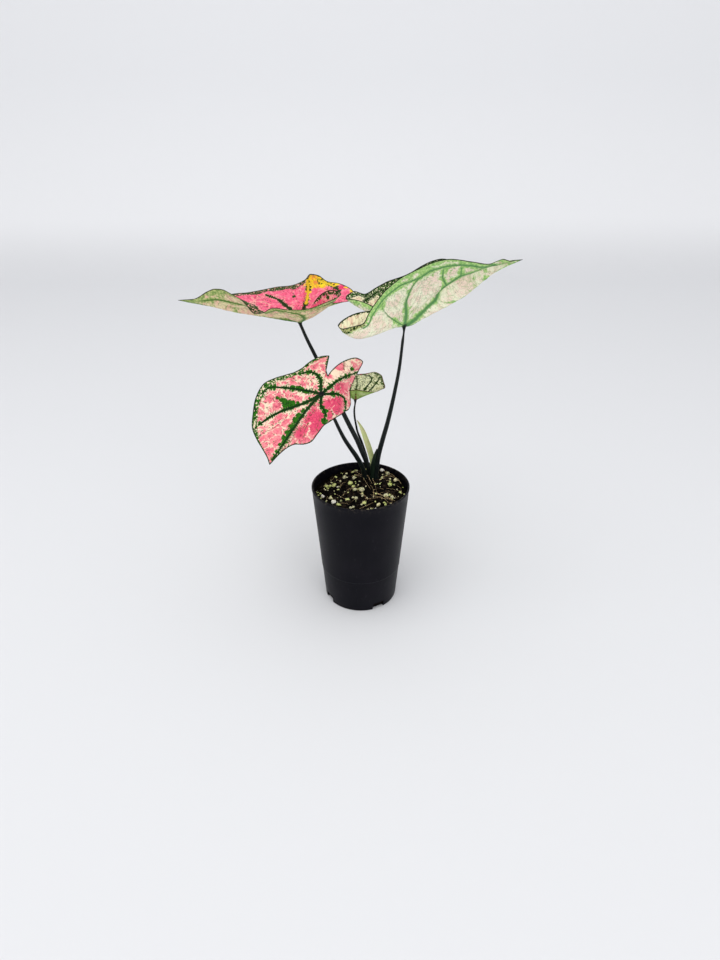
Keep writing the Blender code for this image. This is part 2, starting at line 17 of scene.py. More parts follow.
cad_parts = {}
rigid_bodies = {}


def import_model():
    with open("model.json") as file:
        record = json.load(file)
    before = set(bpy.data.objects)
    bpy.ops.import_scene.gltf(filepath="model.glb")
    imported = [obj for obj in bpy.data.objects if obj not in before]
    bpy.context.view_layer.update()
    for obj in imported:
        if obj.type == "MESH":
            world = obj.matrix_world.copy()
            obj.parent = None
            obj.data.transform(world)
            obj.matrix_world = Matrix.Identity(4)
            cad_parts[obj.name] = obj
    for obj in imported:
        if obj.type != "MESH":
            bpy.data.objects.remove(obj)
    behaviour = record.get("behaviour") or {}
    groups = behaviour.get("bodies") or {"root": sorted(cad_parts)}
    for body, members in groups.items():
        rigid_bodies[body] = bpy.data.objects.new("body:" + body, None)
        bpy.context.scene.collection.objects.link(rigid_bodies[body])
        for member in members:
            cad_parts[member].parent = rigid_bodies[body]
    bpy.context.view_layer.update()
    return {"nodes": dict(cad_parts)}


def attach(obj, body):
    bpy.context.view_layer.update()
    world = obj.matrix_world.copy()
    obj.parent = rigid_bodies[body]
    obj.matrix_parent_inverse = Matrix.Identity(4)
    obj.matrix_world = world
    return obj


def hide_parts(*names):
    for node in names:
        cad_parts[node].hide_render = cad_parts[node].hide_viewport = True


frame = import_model()

MM = 0.001
BODY = "root"

# The photograph's camera: its place, its angles in degrees, and its focal length in pixels of a
# 720 x 960 picture
CAMERA_PLACE = (-0.0113, -0.5582, 0.4465)
CAMERA_PITCH = 29.08
CAMERA_YAW = 1.10
CAMERA_ROLL = -0.12
FOCAL_PIXELS = 641.4
PICTURE_HEIGHT = 960
SENSOR_MM = 36.0

# The pot, as the solid has it
RIM_RADIUS = 49.0
FOOT_RADIUS = 37.8
POT_HEIGHT = 131.0
WALL = 1.2
LIP_WALL = 1.8
LIP_HEIGHT = 3.0
FLOOR = 1.6
STEP_HEIGHT = 38.4
STEP_DEPTH = 0.45
NOTCH_WIDTH = 13.0
NOTCH_HEIGHT = 8.0
NOTCH_DEPTH = 5.0
NOTCH_BEARINGS = (28.0, 118.0, 208.0, 298.0)
POT_STEPS = 192

# The potting mix and the plant, as the solids have them
GAP = 0.3
CROWN = (11.0, 26.0)
SOIL_EDGE_HEIGHT = 120.5
SOIL_MOUND = 7.0
SOIL_MOUND_RADIUS = 26.0
GRAIN_SIZE = 5.5
GRAIN_RELIEF = 2.2
HANDLE_PULL = 0.36
SHEATH_FLATNESS = 0.32

# A blade's own sizes
BLADE_THICKNESS = 0.62
MARGIN_THICKNESS = 0.34
QUILTING = {"right": 0.2, "left": 0.3, "front": 0.5, "small": 0.25}
SIDE_RIDGE = {"right": 0.12, "left": 0.25, "front": 0.35, "small": 0.3}
VEIN_RIDGE = 0.5
VEIN_GROOVE = 0.3
VEIN_APART = 200.0

# Each row of a leaf is one strip of it, from its stalk to its margin: where the strip lies when the
# leaf is laid flat, its bearing as the leaf grows, the straight reach to the margin, the rise of
# that reach, and the strip's slope at the stalk and at the margin. Degrees, and millimetres for the
# reach. 0 is the tip, 180 is the notch between the two lobes, and the plus side lies to the left of
# someone who walks from the stalk to the tip. A leaf's turn is its heading, pitch and roll.
#
# A place on a leaf is a bearing as the leaf is laid flat and a share of the way to the margin. A
# vein is its half width at its start and end, and the places that it passes. A tone is a list of
# blots, each a place, a radius and a strength.
RIGHT_LEAF = {
    "name": "right",
    "seat": (39.3, 10.0, 287.8),
    "turn": (-9, 22, -25),
    "spokes": 400,
    "rings": 76,
    "seed": 3,
    "rows": (
        (-180, -170, 25, 50, 42, 45),
        (-170, -158, 32, 40, 25, 50),
        (-160, -149, 49, 24, 8, 55),
        (-150, -141, 63, 10, 5, 70),
        (-138, -132, 62, 5, 4, 75),
        (-125, -120, 53, 4, 5, 25),
        (-112, -113, 49, 12, 14, 10),
        (-98, -103, 48, 21, 22, 20),
        (-80, -88, 50, 29, 27, 28),
        (-60, -66, 55, 33, 32, 28),
        (-42, -46, 62, 32, 34, 22),
        (-28, -32, 73, 26, 34, 10),
        (-16, -18, 82, 18, 34, 2),
        (-9, -9.5, 91, 13.5, 34, 0),
        (-5, -6, 100, 13, 34, 0),
        (-2, -2.5, 105, 11, 34, -8),
        (0, 0, 114, 9.5, 34, -18),
        (5, 5, 98, 12, 26, 15),
        (12, 10, 86, 18, 14, 60),
        (20, 17, 77, 30, 0, 90),
        (32, 26, 72, 45, -10, 110),
        (50, 45, 65, 54, -10, 115),
        (75, 72, 60, 58, -8, 110),
        (100, 100, 59, 60, 0, 100),
        (122, 126, 60, 55, 12, 90),
        (138, 144, 60, 50, 25, 80),
        (150, 160, 63, 51, 34, 70),
        (158, 173, 63, 47, 36, 65),
        (165, 182, 60, 43, 38, 55),
        (171, 189, 50, 46, 40, 55),
        (176, 191, 37, 49, 42, 50),
        (180, 190, 25, 50, 42, 45),
    ),
    "veins": (
        (
            1.1, 0.5,
            (
                (14, 0.07), (7, 0.18), (4.5, 0.26), (1.6, 0.35), (-10, 0.53), (-11, 0.64), (-11.3, 0.75),
                (-8.6, 0.82), (-3.7, 0.85), (-1, 0.93), (0, 1),
            ),
        ),
        (1.2, 0.4, ((-46, 0.07), (-52, 0.25), (-55.8, 0.42), (-51.7, 0.61), (-45.9, 0.76), (-39.9, 0.81))),
        (
            0.5, 0.8,
            (
                (-128, 0.9), (-108, 0.9), (-90, 0.9), (-75, 0.88), (-60, 0.86), (-50, 0.83), (-38.6, 0.81), (-33.5, 0.84), (-26.5, 0.86),
                (-20.2, 0.92), (-14.4, 0.94), (-8, 0.93), (-3, 0.9),
            ),
        ),
        (0.6, 0.4, ((-11.6, 0.59), (-19.4, 0.7), (-23.8, 0.82))),
        (0.6, 0.4, ((-11.3, 0.75), (-16.6, 0.88))),
        (0.5, 0.3, ((-105, 0.3), (-102, 0.6), (-97, 0.8), (-90, 0.9))),
        (0.7, 0.3, ((-158, 0.25), (-158, 0.5), (-154, 0.75), (-148, 0.92))),
        (1.3, 0.5, ((45, 0.2), (48, 0.45), (42, 0.68), (33, 0.82), (24, 0.9), (14, 0.92), (6, 0.86))),
        (1.1, 0.4, ((98, 0.3), (95, 0.6), (86, 0.85), (72, 0.92), (58, 0.91))),
        (1.2, 0.4, ((150, 0.25), (153, 0.55), (148, 0.8), (136, 0.91), (120, 0.92), (106, 0.91))),
    ),
    "tones": {
        "green": (
            (-40, 0.92, 7, 0.7), (-70, 0.95, 7, 0.8), (-95, 0.95, 7, 0.8), (112, 0.75, 3, 0.9),
            (100, 0.82, 3, 0.9), (128, 0.7, 3, 0.8), (88, 0.9, 3, 0.8), (142, 0.85, 3, 0.8),
            (120, 0.88, 2.5, 0.9), (-163, 0.6, 1.5, 0.8),
        ),
        "cream": ((-85, 0.55, 9, 0.9), (-110, 0.6, 8, 0.8), (-30, 0.45, 10, 1), (-35, 0.6, 8, 0.8), (-128, 0.8, 9, 0.9)),
        "deep": ((8, 0.93, 12, 0.5), (-2, 0.97, 10, 0.6), (14, 0.75, 9, 0.3), (112, 0.55, 8, 0.4)),
        "lip": ((-158, 1, 8, 1), (-150, 1, 8, 1), (-142, 1, 8, 1), (-134, 1, 8, 0.9), (-126, 1, 7, 0.6)),
        "wide": ((110, 1, 15, 1), (132, 1, 15, 1), (88, 1, 14, 1), (66, 1, 13, 1), (46, 1, 13, 0.9), (154, 1, 10, 0.8)),
    },
}
LEFT_LEAF = {
    "name": "left",
    "seat": (-56.5, 50.0, 281.2),
    "turn": (-175, 10, 0),
    "spokes": 400,
    "rings": 76,
    "seed": 7,
    "rows": (
        (-180, -185, 15, 60, 60, 50),
        (-174, -180, 28, 46, 50, 35),
        (-168, -174, 42, 33, 40, 20),
        (-161, -166, 56, 27, 35, 10),
        (-152, -156, 63, 27, 30, 10),
        (-140, -145, 65, 29, 25, 25),
        (-128, -132, 64, 31, 25, 30),
        (-115, -118, 61, 32, 22, 30),
        (-106, -107, 62, 36, 15, 80),
        (-98, -98, 61, 36.5, 12, 90),
        (-91, -93, 58, 31, 15, 50),
        (-75, -77, 55, 23.5, 15, 25),
        (-60, -62, 56, 20, 12, 25),
        (-45, -48, 59, 15, 8, 22),
        (-32, -34, 63, 11.5, 5, 18),
        (-20, -21, 70, 9.5, 2, 18),
        (-10, -10, 80, 6.5, 0, 15),
        (-4, -4, 92, 4, 0, 8),
        (0, 0, 113, 2, 0, 0),
        (3, 4, 98, 5.5, 4, 20),
        (8, 9, 90, 12, 14, 35),
        (14, 13, 85, 16, 19, 45),
        (22, 20, 78, 18.5, 21, 45),
        (31, 29, 71, 18.5, 21, 30),
        (40, 37, 65, 15.5, 19, 0),
        (48, 44, 62, 12, 18, -20),
        (55, 51, 60.5, 14, 18, 0),
        (64, 60, 59.5, 21, 15, 30),
        (78, 75, 56, 23.5, 15, 35),
        (95, 92, 55.5, 27, 18, 40),
        (112, 110, 57, 33.5, 22, 50),
        (128, 126, 58, 38, 28, 50),
        (140, 137, 57, 41.5, 32, 50),
        (150, 142, 53, 47, 38, 50),
        (158, 141, 45, 54.5, 45, 60),
        (166, 140, 34, 59, 52, 60),
        (174, 152, 22, 61, 58, 60),
        (180, 175, 15, 60, 60, 50),
    ),
    "veins": (
        (1.6, 0.5, ((0, 0.2), (0, 0.5), (0, 1))),
        (2.1, 0.6, ((-63, 0.2), (-60.9, 0.38), (-56.1, 0.51), (-52.3, 0.7), (-43.8, 0.86))),
        (1.3, 0.6, ((-101, 0.2), (-99.5, 0.45), (-99.9, 0.56), (-99.2, 0.68), (-97.7, 0.79), (-95, 0.92))),
        (1.2, 0.4, ((-140, 0.25), (-140, 0.6), (-134, 0.85), (-122, 0.93), (-108, 0.93))),
        (1.3, 0.5, ((55, 0.2), (52, 0.4), (44, 0.58), (34, 0.68), (25, 0.71), (18, 0.73), (12, 0.81), (7, 0.89), (3, 0.96))),
        (1.1, 0.4, ((98, 0.3), (95, 0.6), (88, 0.82), (74, 0.92), (60, 0.92), (48, 0.9), (36, 0.86))),
        (1.2, 0.4, ((148, 0.3), (146, 0.6), (138, 0.85), (124, 0.92), (108, 0.92))),
    ),
    "tones": {
        "gold": (
            (-96, 0.96, 7, 1), (-104, 0.92, 7, 1), (-112, 0.93, 6, 1), (-120, 0.97, 4, 1), (-126, 0.99, 4, 0.9),
            (-137, 1, 3, 0.8), (-145, 1, 4, 0.9), (-152, 1, 4, 0.8), (-99.5, 0.5, 2.2, 0.9),
            (-99.6, 0.6, 2.6, 1), (-98.8, 0.72, 3, 1), (-97.7, 0.8, 4, 1),
        ),
        "deep": ((-133, 0.93, 4.5, 1), (-128, 0.86, 3, 0.9), (-106, 0.78, 4, 0.5), (-75, 0.7, 12, 0.4)),
        "cream": ((150, 0.8, 5, 0.5), (-20, 0.7, 6, 0.3), (8, 0.8, 6, 0.4), (20, 0.85, 6, 0.5), (-136, 0.6, 5, 0.5)),
        "green": (
            (-97, 0.38, 2.2, 1), (-60, 0.42, 2.6, 1), (-55, 0.56, 2.2, 0.9), (-52, 0.68, 1.8, 0.9),
            (-63, 0.28, 2.2, 0.9), (35, 0.9, 8, 0.5), (16, 0.95, 6, 0.7), (-78, 0.92, 3.5, 0.8),
            (-76.6, 0.7, 1.8, 1), (152, 0.8, 2, 0.9), (158, 0.95, 2, 0.9), (-66, 0.95, 3, 0.7),
        ),
        "wide": (
            (140, 1, 12, 0.5), (155, 1, 10, 0.4), (122, 1, 12, 0.4), (168, 1, 8, 0.4), (34, 1, 9, 1),
            (46, 1, 9, 1), (54, 1, 7, 0.7), (-23, 1, 8, 0.6), (-38, 1, 9, 0.9), (-60, 1, 10, 1),
            (-80, 1, 10, 1), (-91, 1, 4, 0.5),
        ),
    },
}
FRONT_LEAF = {
    "name": "front",
    "seat": (-35.4, -15.0, 233.4),
    "turn": (228, -35, -12),
    "spokes": 380,
    "rings": 72,
    "seed": 11,
    "rows": (
        (-180, -165, 19, 6, 4, 6),
        (-172, -157, 26, 5, 4, 4),
        (-164, -157, 34, 4, 4, 0),
        (-156, -157, 40.5, 3, 4, 0),
        (-146, -146, 39, 6, 5, 0),
        (-132, -128, 36, 7, 5, 5),
        (-120, -114, 34, 7, 5, 8),
        (-108, -103, 35, 7.5, 5, 10),
        (-95, -91, 40, 8, 5, 12),
        (-82, -80, 48, 8.5, 5, 12),
        (-72, -72, 55, 8, 5, 12),
        (-58, -58, 61, 5, 5, 6),
        (-46, -45, 65, 2, 3, 2),
        (-34, -33, 70, -0.5, 0, 0),
        (-24, -24, 71, -0.5, 0, 0),
        (-14, -15, 72.5, 0, 0, 0),
        (-6, -6, 76, 0, 0, 0),
        (0, 0, 81, 1, 0, 5),
        (4, 0.5, 70, 0, 0, 0),
        (9, 2, 60, -2, -2, 0),
        (15, 5.5, 53, -5, -5, -5),
        (22, 12, 49, -11, -7, -15),
        (30, 17.5, 45, -15, -8, -20),
        (40, 24, 36, -19, -8, -30),
        (54, 35, 28, -25, -10, -40),
        (70, 60, 25, -40, -18, -60),
        (88, 95, 28, -50, -25, -70),
        (104, 118, 33, -54, -28, -75),
        (116, 133, 34, -51, -25, -70),
        (127, 147, 33, -45, -20, -60),
        (137, 157, 33, -38, -16, -50),
        (147, 163, 38, -25, -10, -35),
        (155, 166, 45, -16, -6, -20),
        (162, 168, 52, -9, -3, -5),
        (168, 173, 50, -5, 0, 0),
        (174, 182, 38, 1, 3, 5),
        (180, 195, 19, 6, 4, 6),
    ),
    "veins": (
        (1.6, 0.7, ((-10, 0.13), (-7, 0.31), (-4, 0.5), (-2.3, 0.69), (-1.5, 0.81), (-1, 0.95))),
        (1.5, 0.9, ((-30, 0.18), (-35.8, 0.38), (-38, 0.6), (-37, 0.76), (-35, 0.9))),
        (1.3, 0.6, ((-76, 0.19), (-73.5, 0.43), (-70.5, 0.72), (-67.6, 0.88), (-61, 0.94))),
        (1.4, 0.6, ((-141, 0.12), (-143.7, 0.37), (-136, 0.58), (-126, 0.77), (-112, 0.88))),
        (1.1, 0.5, ((162, 0.2), (162.6, 0.4), (156.4, 0.72), (154, 0.98))),
        (1.3, 0.6, ((118, 0.1), (119.8, 0.24), (122, 0.51), (117.4, 0.71), (103.3, 0.8), (92.5, 0.95))),
        (1.2, 0.5, ((45, 0.12), (46.7, 0.33), (57, 0.55), (58.4, 0.66), (54, 0.87))),
    ),
    "tones": {
        "green": (
            (-40, 0.33, 1.8, 1), (-43, 0.4, 2.4, 1), (-47, 0.47, 2.6, 1), (-50, 0.54, 2.6, 1),
            (-53, 0.6, 2.2, 1), (-56, 0.67, 1.6, 1), (-44, 0.53, 2.2, 1), (-42, 0.46, 2.4, 1),
            (-78.4, 0.45, 3, 1), (-75, 0.36, 2.8, 1), (-70, 0.25, 2.4, 1), (-77, 0.55, 2.4, 0.9),
            (-12, 0.3, 2.2, 1), (-11.7, 0.39, 2.8, 1), (-9, 0.46, 3, 1), (-7, 0.54, 3, 1), (-5.8, 0.62, 3, 1),
            (-5.2, 0.7, 2.6, 1), (-4, 0.78, 2.2, 0.9), (-3, 0.86, 1.6, 0.8), (163.3, 0.75, 2.4, 1),
            (57, 0.6, 2.4, 0.9), (50, 0.42, 2, 0.9), (120, 0.35, 1.8, 0.8), (110, 0.78, 1.8, 0.8),
            (-141, 0.2, 2, 0.9), (-124, 0.78, 2.4, 0.9),
        ),
        "deep": (
            (40, 0.7, 14, 1), (25, 0.55, 9, 0.9), (90, 0.5, 12, 0.9), (140, 0.6, 9, 0.7),
            (12, 0.75, 8, 0.9), (-3, 0.93, 6, 0.4), (-14, 0.86, 6, 0.4),
        ),
        "cream": (
            (174, 0.35, 4, 1), (171, 0.55, 4, 1), (168, 0.75, 4, 0.7), (-25, 0.45, 4, 0.6),
            (-22, 0.62, 3, 0.5), (-28, 0.3, 3, 0.7), (-60, 0.3, 3, 0.6),
        ),
        "red": ((-168, 0.25, 1.4, 1), (-169, 0.38, 1.5, 1), (-170, 0.52, 1.4, 1), (-171, 0.68, 1.2, 0.9)),
        "wide": ((-60, 1, 26, 1), (-35, 1, 16, 0.8), (-90, 1, 16, 0.7), (-112, 1, 10, 0.5), (-140, 1, 9, 0.4)),
    },
}
SMALL_LEAF = {
    "name": "small",
    "seat": (-4.4, 40.0, 205.2),
    "turn": (15, 15, 0),
    "spokes": 260,
    "rings": 44,
    "seed": 19,
    "rows": (
        (-180, -180, 7, 45, 40, 40),
        (-165, -165, 14, 50, 45, 50),
        (-150, -145, 18, 58, 50, 65),
        (-130, -120, 17, 62, 52, 70),
        (-100, -95, 16.5, 62, 50, 70),
        (-75, -72, 18, 52, 40, 60),
        (-55, -52, 21, 32, 26, 35),
        (-38, -36, 25, 17, 18, 12),
        (-20, -18, 28, 10, 15, 5),
        (-8, -6, 32, 5, 12, -10),
        (0, 3, 33.5, 4, 12, -25),
        (8, 10, 35, 9, 14, -20),
        (20, 19, 38, 15.5, 18, -10),
        (35, 32, 38.5, 18.5, 25, 0),
        (55, 46, 36, 19, 30, 0),
        (80, 63, 33, 24, 35, 10),
        (105, 80, 29, 31, 38, 15),
        (130, 100, 26, 37, 40, 25),
        (150, 125, 22, 42, 40, 30),
        (167, 150, 15, 45, 40, 35),
        (180, 180, 7, 45, 40, 40),
    ),
    "veins": (
        (0.9, 0.5, ((-4, 0.3), (-2, 0.46), (3, 0.61), (8, 0.75), (12, 0.85), (17, 0.93))),
        (0.9, 0.5, ((12, 0.25), (18, 0.43), (19, 0.54), (21, 0.65), (26, 0.73), (38, 0.8), (56, 0.89))),
        (0.8, 0.4, ((75, 0.3), (74, 0.6), (80, 0.9))),
        (0.8, 0.4, ((125, 0.4), (122, 0.7), (116, 0.92))),
        (0.7, 0.3, ((-50, 0.3), (-46, 0.6), (-38, 0.9))),
        (0.8, 0.4, ((-86, 0.3), (-84, 0.6), (-82, 0.9))),
        (0.7, 0.3, ((-135, 0.4), (-132, 0.7), (-126, 0.9))),
    ),
    "tones": {
        "green": ((25, 0.95, 5, 0.6), (5, 0.98, 4, 0.7)),
        "cream": ((45, 0.5, 10, 0.8), (8, 0.6, 6, 0.5)),
        "wide": ((5, 1, 7, 0.8), (28, 1, 8, 1), (60, 1, 8, 1), (100, 1, 8, 0.8)),
        "red": ((-84, 0.15, 2.2, 1), (-84, 0.4, 1.6, 1), (-83, 0.65, 1.3, 0.9), (70, 1, 3, 0.8), (55, 1, 3, 0.8)),
    },
}
LEAVES = (RIGHT_LEAF, LEFT_LEAF, FRONT_LEAF, SMALL_LEAF)
TONES = ("green", "cream", "deep", "gold", "red", "wide", "lip")

# Each stalk's route, from under its leaf down into the mix: x, y, z and the stalk's radius there
STALKS = {
    "right": (
        (38.5, 10.4, 273, 1.35), (35.9, 12.1, 244, 1.6), (33.5, 13.2, 228, 1.75),
        (29.9, 14.7, 207, 2), (26.4, 16.4, 189, 2.2), (22.2, 17.9, 171, 2.4),
        (18.4, 19.8, 152.5, 2.55), (16.5, 21.3, 133, 2.65), (16.4, 21.7, 122, 2.65),
    ),
    "left": (
        (-54.6, 49.6, 275, 1.5), (-50.9, 48.5, 266, 1.6), (-42.7, 46.5, 248.5, 1.8),
        (-33, 43.5, 227, 2), (-23.6, 40.3, 207, 2.15), (-15, 37.4, 189, 2.3),
        (-9.1, 34.9, 177, 2.4), (-2.8, 32.4, 164.5, 2.45), (2.3, 30.2, 152, 2.45),
        (6, 29.1, 143, 2.45), (8.5, 28.2, 135.5, 2.5), (9.6, 27.6, 128, 2.5), (10, 27.4, 120, 2.5),
    ),
    "front": (
        (-31.2, -12.7, 223.5, 1.35), (-25.6, -8.6, 209, 1.5), (-20.8, -4.1, 195, 1.7),
        (-14.8, 1.1, 179.5, 1.95), (-9.8, 5.4, 169, 2.15), (-4.3, 9.8, 158, 2.35),
        (-0.5, 13.5, 149, 2.4), (2.4, 17, 140.5, 2.45), (4.1, 20, 132, 2.45),
        (4.8, 21.8, 121, 2.45),
    ),
    "small": (
        (-5.4, 40, 194.5, 0.95), (-5.2, 40, 188, 1), (-3.9, 39.8, 179, 1),
        (-2.2, 39.2, 170.5, 1.1), (1.3, 37.9, 161.5, 1.2), (3.9, 36.8, 153.5, 1.3),
        (6.6, 35.8, 144.5, 1.35), (8.3, 34.9, 137, 1.35), (9.1, 34, 129, 1.35),
        (9.3, 33.5, 120, 1.35),
    ),
}
FLAP = (
    (16.8, 18.6, 161, 0.5), (15.4, 19, 155, 1.5), (13.9, 19.5, 148, 2.1),
    (12.9, 20.3, 138.5, 2.35), (12.6, 20.8, 129, 2.3), (12.7, 21.2, 119.5, 2.3),
)
SHEATH = (
    (-2.5, 36, 184.7, 0.45), (-0.2, 35.6, 181, 1.2), (2.5, 35.2, 175.5, 2.1),
    (6.3, 33.8, 165, 2.8), (9.8, 32.6, 154, 3), (12.5, 31.7, 143, 2.8), (14, 31.2, 133, 2.6),
    (14.5, 30.8, 119, 2.4),
)

# Grains that show in the mix: x, y, size across, and kind
GRAINS = (
    (-38, -6, 4.2, "white"), (-27, -20, 4.6, "white"), (25, 40, 3.6, "white"), (14, -31, 4.0, "white"),
    (-30, -10, 3.4, "cream"), (17, -23, 3.8, "cream"), (6, -33, 3.4, "cream"),
    (-27, 14, 4.6, "green"), (-35, 12, 3.4, "green"), (-31, 12, 3.2, "green"), (-10, 14, 4.2, "green"),
    (-7, 8, 3.6, "green"), (-13, -15, 4.2, "green"), (-22, -25, 3.6, "green"), (3, -20, 4.0, "green"),
    (30, 8, 4.4, "green"), (40, 0, 3.6, "green"), (-16, 28, 4.4, "pale"), (-6, 21, 4.0, "pale"),
    (1, 1, 5.4, "pale"), (-6, 2, 4.0, "pale"), (-5, -12, 4.2, "pale"), (30, 34, 4.0, "pale"),
    (41, 24, 3.8, "pale"), (25, -9, 4.2, "pale"), (31, -12, 4.4, "pale"), (36, 20, 4.0, "cream"),
)


def linear(*colour):
    """A colour given as 0 to 255, as it looks, made linear with full opacity."""
    shares = [part / 255 for part in colour]
    return tuple(s / 12.92 if s <= 0.04045 else ((s + 0.055) / 1.055) ** 2.4 for s in shares) + (1.0,)


class Material:
    """A node material under construction. Each call adds one node and gives its output."""

    def __init__(self, name, roughness, specular=0.5):
        self.material = bpy.data.materials.new(name)
        self.material.use_nodes = True
        self.tree = self.material.node_tree
        self.shader = self.tree.nodes["Principled BSDF"]
        self.shader.inputs["Roughness"].default_value = roughness
        self.shader.inputs["Specular IOR Level"].default_value = specular

    def set(self, socket, value):
        if isinstance(value, bpy.types.NodeSocket):
            self.tree.links.new(value, socket)
        else:
            socket.default_value = value

    def node(self, kind, inputs=(), **settings):
        node = self.tree.nodes.new(kind)
        for key, value in settings.items():
            setattr(node, key, value)
        for key, value in dict(inputs).items():
            self.set(node.inputs[key], value)
        return node

    def attribute(self, name, output="Fac"):
        return self.node("ShaderNodeAttribute", attribute_name=name).outputs[output]

    def place(self):
        """Where a point lies on the object, in millimetres."""
        where = self.node("ShaderNodeTexCoord").outputs["Object"]
        scaled = self.node("ShaderNodeVectorMath", {0: where, 1: (1000, 1000, 1000)}, operation="MULTIPLY")
        return scaled.outputs[0]

    def noise(self, where, size, detail=2.0, stretch=None):
        """Noise from 0 to 1 with features of about this size in millimetres."""
        if stretch:
            where = self.node("ShaderNodeVectorMath", {0: where, 1: stretch}, operation="MULTIPLY").outputs[0]
        inputs = {"Vector": where, "Scale": 1 / size, "Detail": detail, "Roughness": 0.55}
        return self.node("ShaderNodeTexNoise", inputs).outputs["Fac"]

    def cells(self, where, size, feature="DISTANCE_TO_EDGE", output="Distance"):
        inputs = {"Vector": where, "Scale": 1 / size}
        return self.node("ShaderNodeTexVoronoi", inputs, feature=feature).outputs[output]

    def math(self, operation, a, b=0.0, c=0.0):
        return self.node("ShaderNodeMath", {0: a, 1: b, 2: c}, operation=operation).outputs[0]

    def step(self, value, low, high):
        """0 below low and 1 above high, smooth between; the other way round if low is the larger."""
        if low < high:
            inputs = {"Value": value, "From Min": low, "From Max": high, "To Min": 0.0, "To Max": 1.0}
        else:
            inputs = {"Value": value, "From Min": high, "From Max": low, "To Min": 1.0, "To Max": 0.0}
        node = self.node("ShaderNodeMapRange", inputs, interpolation_type="SMOOTHSTEP")
        return node.outputs["Result"]

    def mix(self, share, a, b, blend="MIX"):
        node = self.node("ShaderNodeMix", data_type="RGBA", blend_type=blend)
        self.set(node.inputs[0], share)
        self.set(node.inputs[6], a)
        self.set(node.inputs[7], b)
        return node.outputs[2]

    def ragged(self, value, where, amount, size):
        """The value with its level lines made ragged by noise of this size."""
        jag = self.math("SUBTRACT", self.noise(where, size, 3.0), 0.5)
        return self.math("MULTIPLY_ADD", jag, amount, value)

    def finish(self, colour, height=None, distance=0.0003, roughness=None):
        self.set(self.shader.inputs["Base Color"], colour)
        if roughness is not None:
            self.set(self.shader.inputs["Roughness"], roughness)
        if height is not None:
            inputs = {"Height": height, "Distance": distance, "Strength": 1.0}
            bump = self.node("ShaderNodeBump", inputs)
            self.set(self.shader.inputs["Normal"], bump.outputs["Normal"])
        return self.material


def add_object(name, data):
    obj = bpy.data.objects.new(name, data)
    bpy.context.scene.collection.objects.link(obj)
    return obj


def finish_piece(obj, nodes=()):
    """Hangs a finished piece on the frame."""
    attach(obj, BODY)
    if nodes:
        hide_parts(*nodes)
    return obj


# The blades

def monotone_curve(xs, ys, x):
    """A smooth curve through the points (xs, ys) that never overshoots them, read at x."""
    xs = np.asarray(xs, float)
    ys = np.asarray(ys, float)
    steps = np.diff(xs)
    slopes = np.diff(ys) / steps
    tangents = np.zeros(len(xs))
    tangents[0] = slopes[0]
    tangents[-1] = slopes[-1]
    for i in range(1, len(xs) - 1):
        if slopes[i - 1] * slopes[i] > 0:
            before = 2 * steps[i] + steps[i - 1]
            after = steps[i] + 2 * steps[i - 1]
            tangents[i] = (before + after) / (before / slopes[i - 1] + after / slopes[i])
    i = np.clip(np.searchsorted(xs, x, side="right") - 1, 0, len(steps) - 1)
    t = (x - xs[i]) / steps[i]
    return (
        (1 + 2 * t) * (1 - t) ** 2 * ys[i]
        + t * (1 - t) ** 2 * steps[i] * tangents[i]
        + t * t * (3 - 2 * t) * ys[i + 1]
        + t * t * (t - 1) * steps[i] * tangents[i + 1]
    )


def leaf_axes(leaf):
    """Unit vectors towards the tip, to the left, and out of the leaf's upper side."""
    heading, pitch, roll = (math.radians(angle) for angle in leaf["turn"])
    level = math.cos(pitch)
    tip = np.array([level * math.cos(heading), level * math.sin(heading), math.sin(pitch)])
    side = np.array([-math.sin(heading), math.cos(heading), 0.0])
    top = np.cross(tip, side)
    left = math.cos(roll) * side + math.sin(roll) * top
    return tip, left, np.cross(tip, left)


def strip_values(leaf, flat):
    """Bearing, reach, rise and both slopes of the strips that lie at these flat bearings."""
    rows = np.array(leaf["rows"], float)
    right = rows[rows[:, 0] <= 0]
    left = rows[rows[:, 0] >= 0]
    values = []
    for column in range(1, 6):
        on_right = monotone_curve(right[:, 0], right[:, column], np.minimum(flat, 0))
        on_left = monotone_curve(left[:, 0], left[:, column], np.maximum(flat, 0))
        values.append(np.where(flat < 0, on_right, on_left))
    return values


def on_blade(leaf, flat, share):
    """Points of the blade's middle surface at flat bearings and shares of the way to the margin."""
    bearing, reach, rise, first, last = strip_values(leaf, flat)
    bearing, rise, first, last = (np.radians(angle) for angle in (bearing, rise, first, last))
    tip, side, top = leaf_axes(leaf)
    out = np.cos(bearing)[:, None] * tip + np.sin(bearing)[:, None] * side
    handle = HANDLE_PULL * reach
    early = 3 * share * (1 - share) ** 2
    late = 3 * share**2 * (1 - share)
    end = share**3
    level = early * handle * np.cos(first)
    level += late * (reach * np.cos(rise) - handle * np.cos(last)) + end * reach * np.cos(rise)
    lift = early * handle * np.sin(first)
    lift += late * (reach * np.sin(rise) - handle * np.sin(last)) + end * reach * np.sin(rise)
    return np.array(leaf["seat"]) + level[:, None] * out + lift[:, None] * top


def even_flats(leaf):
    """Flat bearings that space the strips evenly along the margin of each half."""
    dense = np.linspace(-180, 180, 2881)
    margin = on_blade(leaf, dense, np.ones(len(dense)))
    run = np.concatenate([[0], np.cumsum(np.linalg.norm(np.diff(margin, axis=0), axis=1))])
    tip = np.interp(0, dense, run)
    half = leaf["spokes"] // 2
    wanted = np.concatenate([np.linspace(0, tip, half + 1), np.linspace(tip, run[-1], half + 1)[1:-1]])
    return np.interp(wanted, run, dense)


def laid_flat(leaf, flat, share):
    """Places on the leaf as points of the plane, with the leaf laid flat."""
    reach = strip_values(leaf, flat)[1]
    turn = np.radians(flat)
    return np.stack([reach * share * np.cos(turn), reach * share * np.sin(turn)], 1)


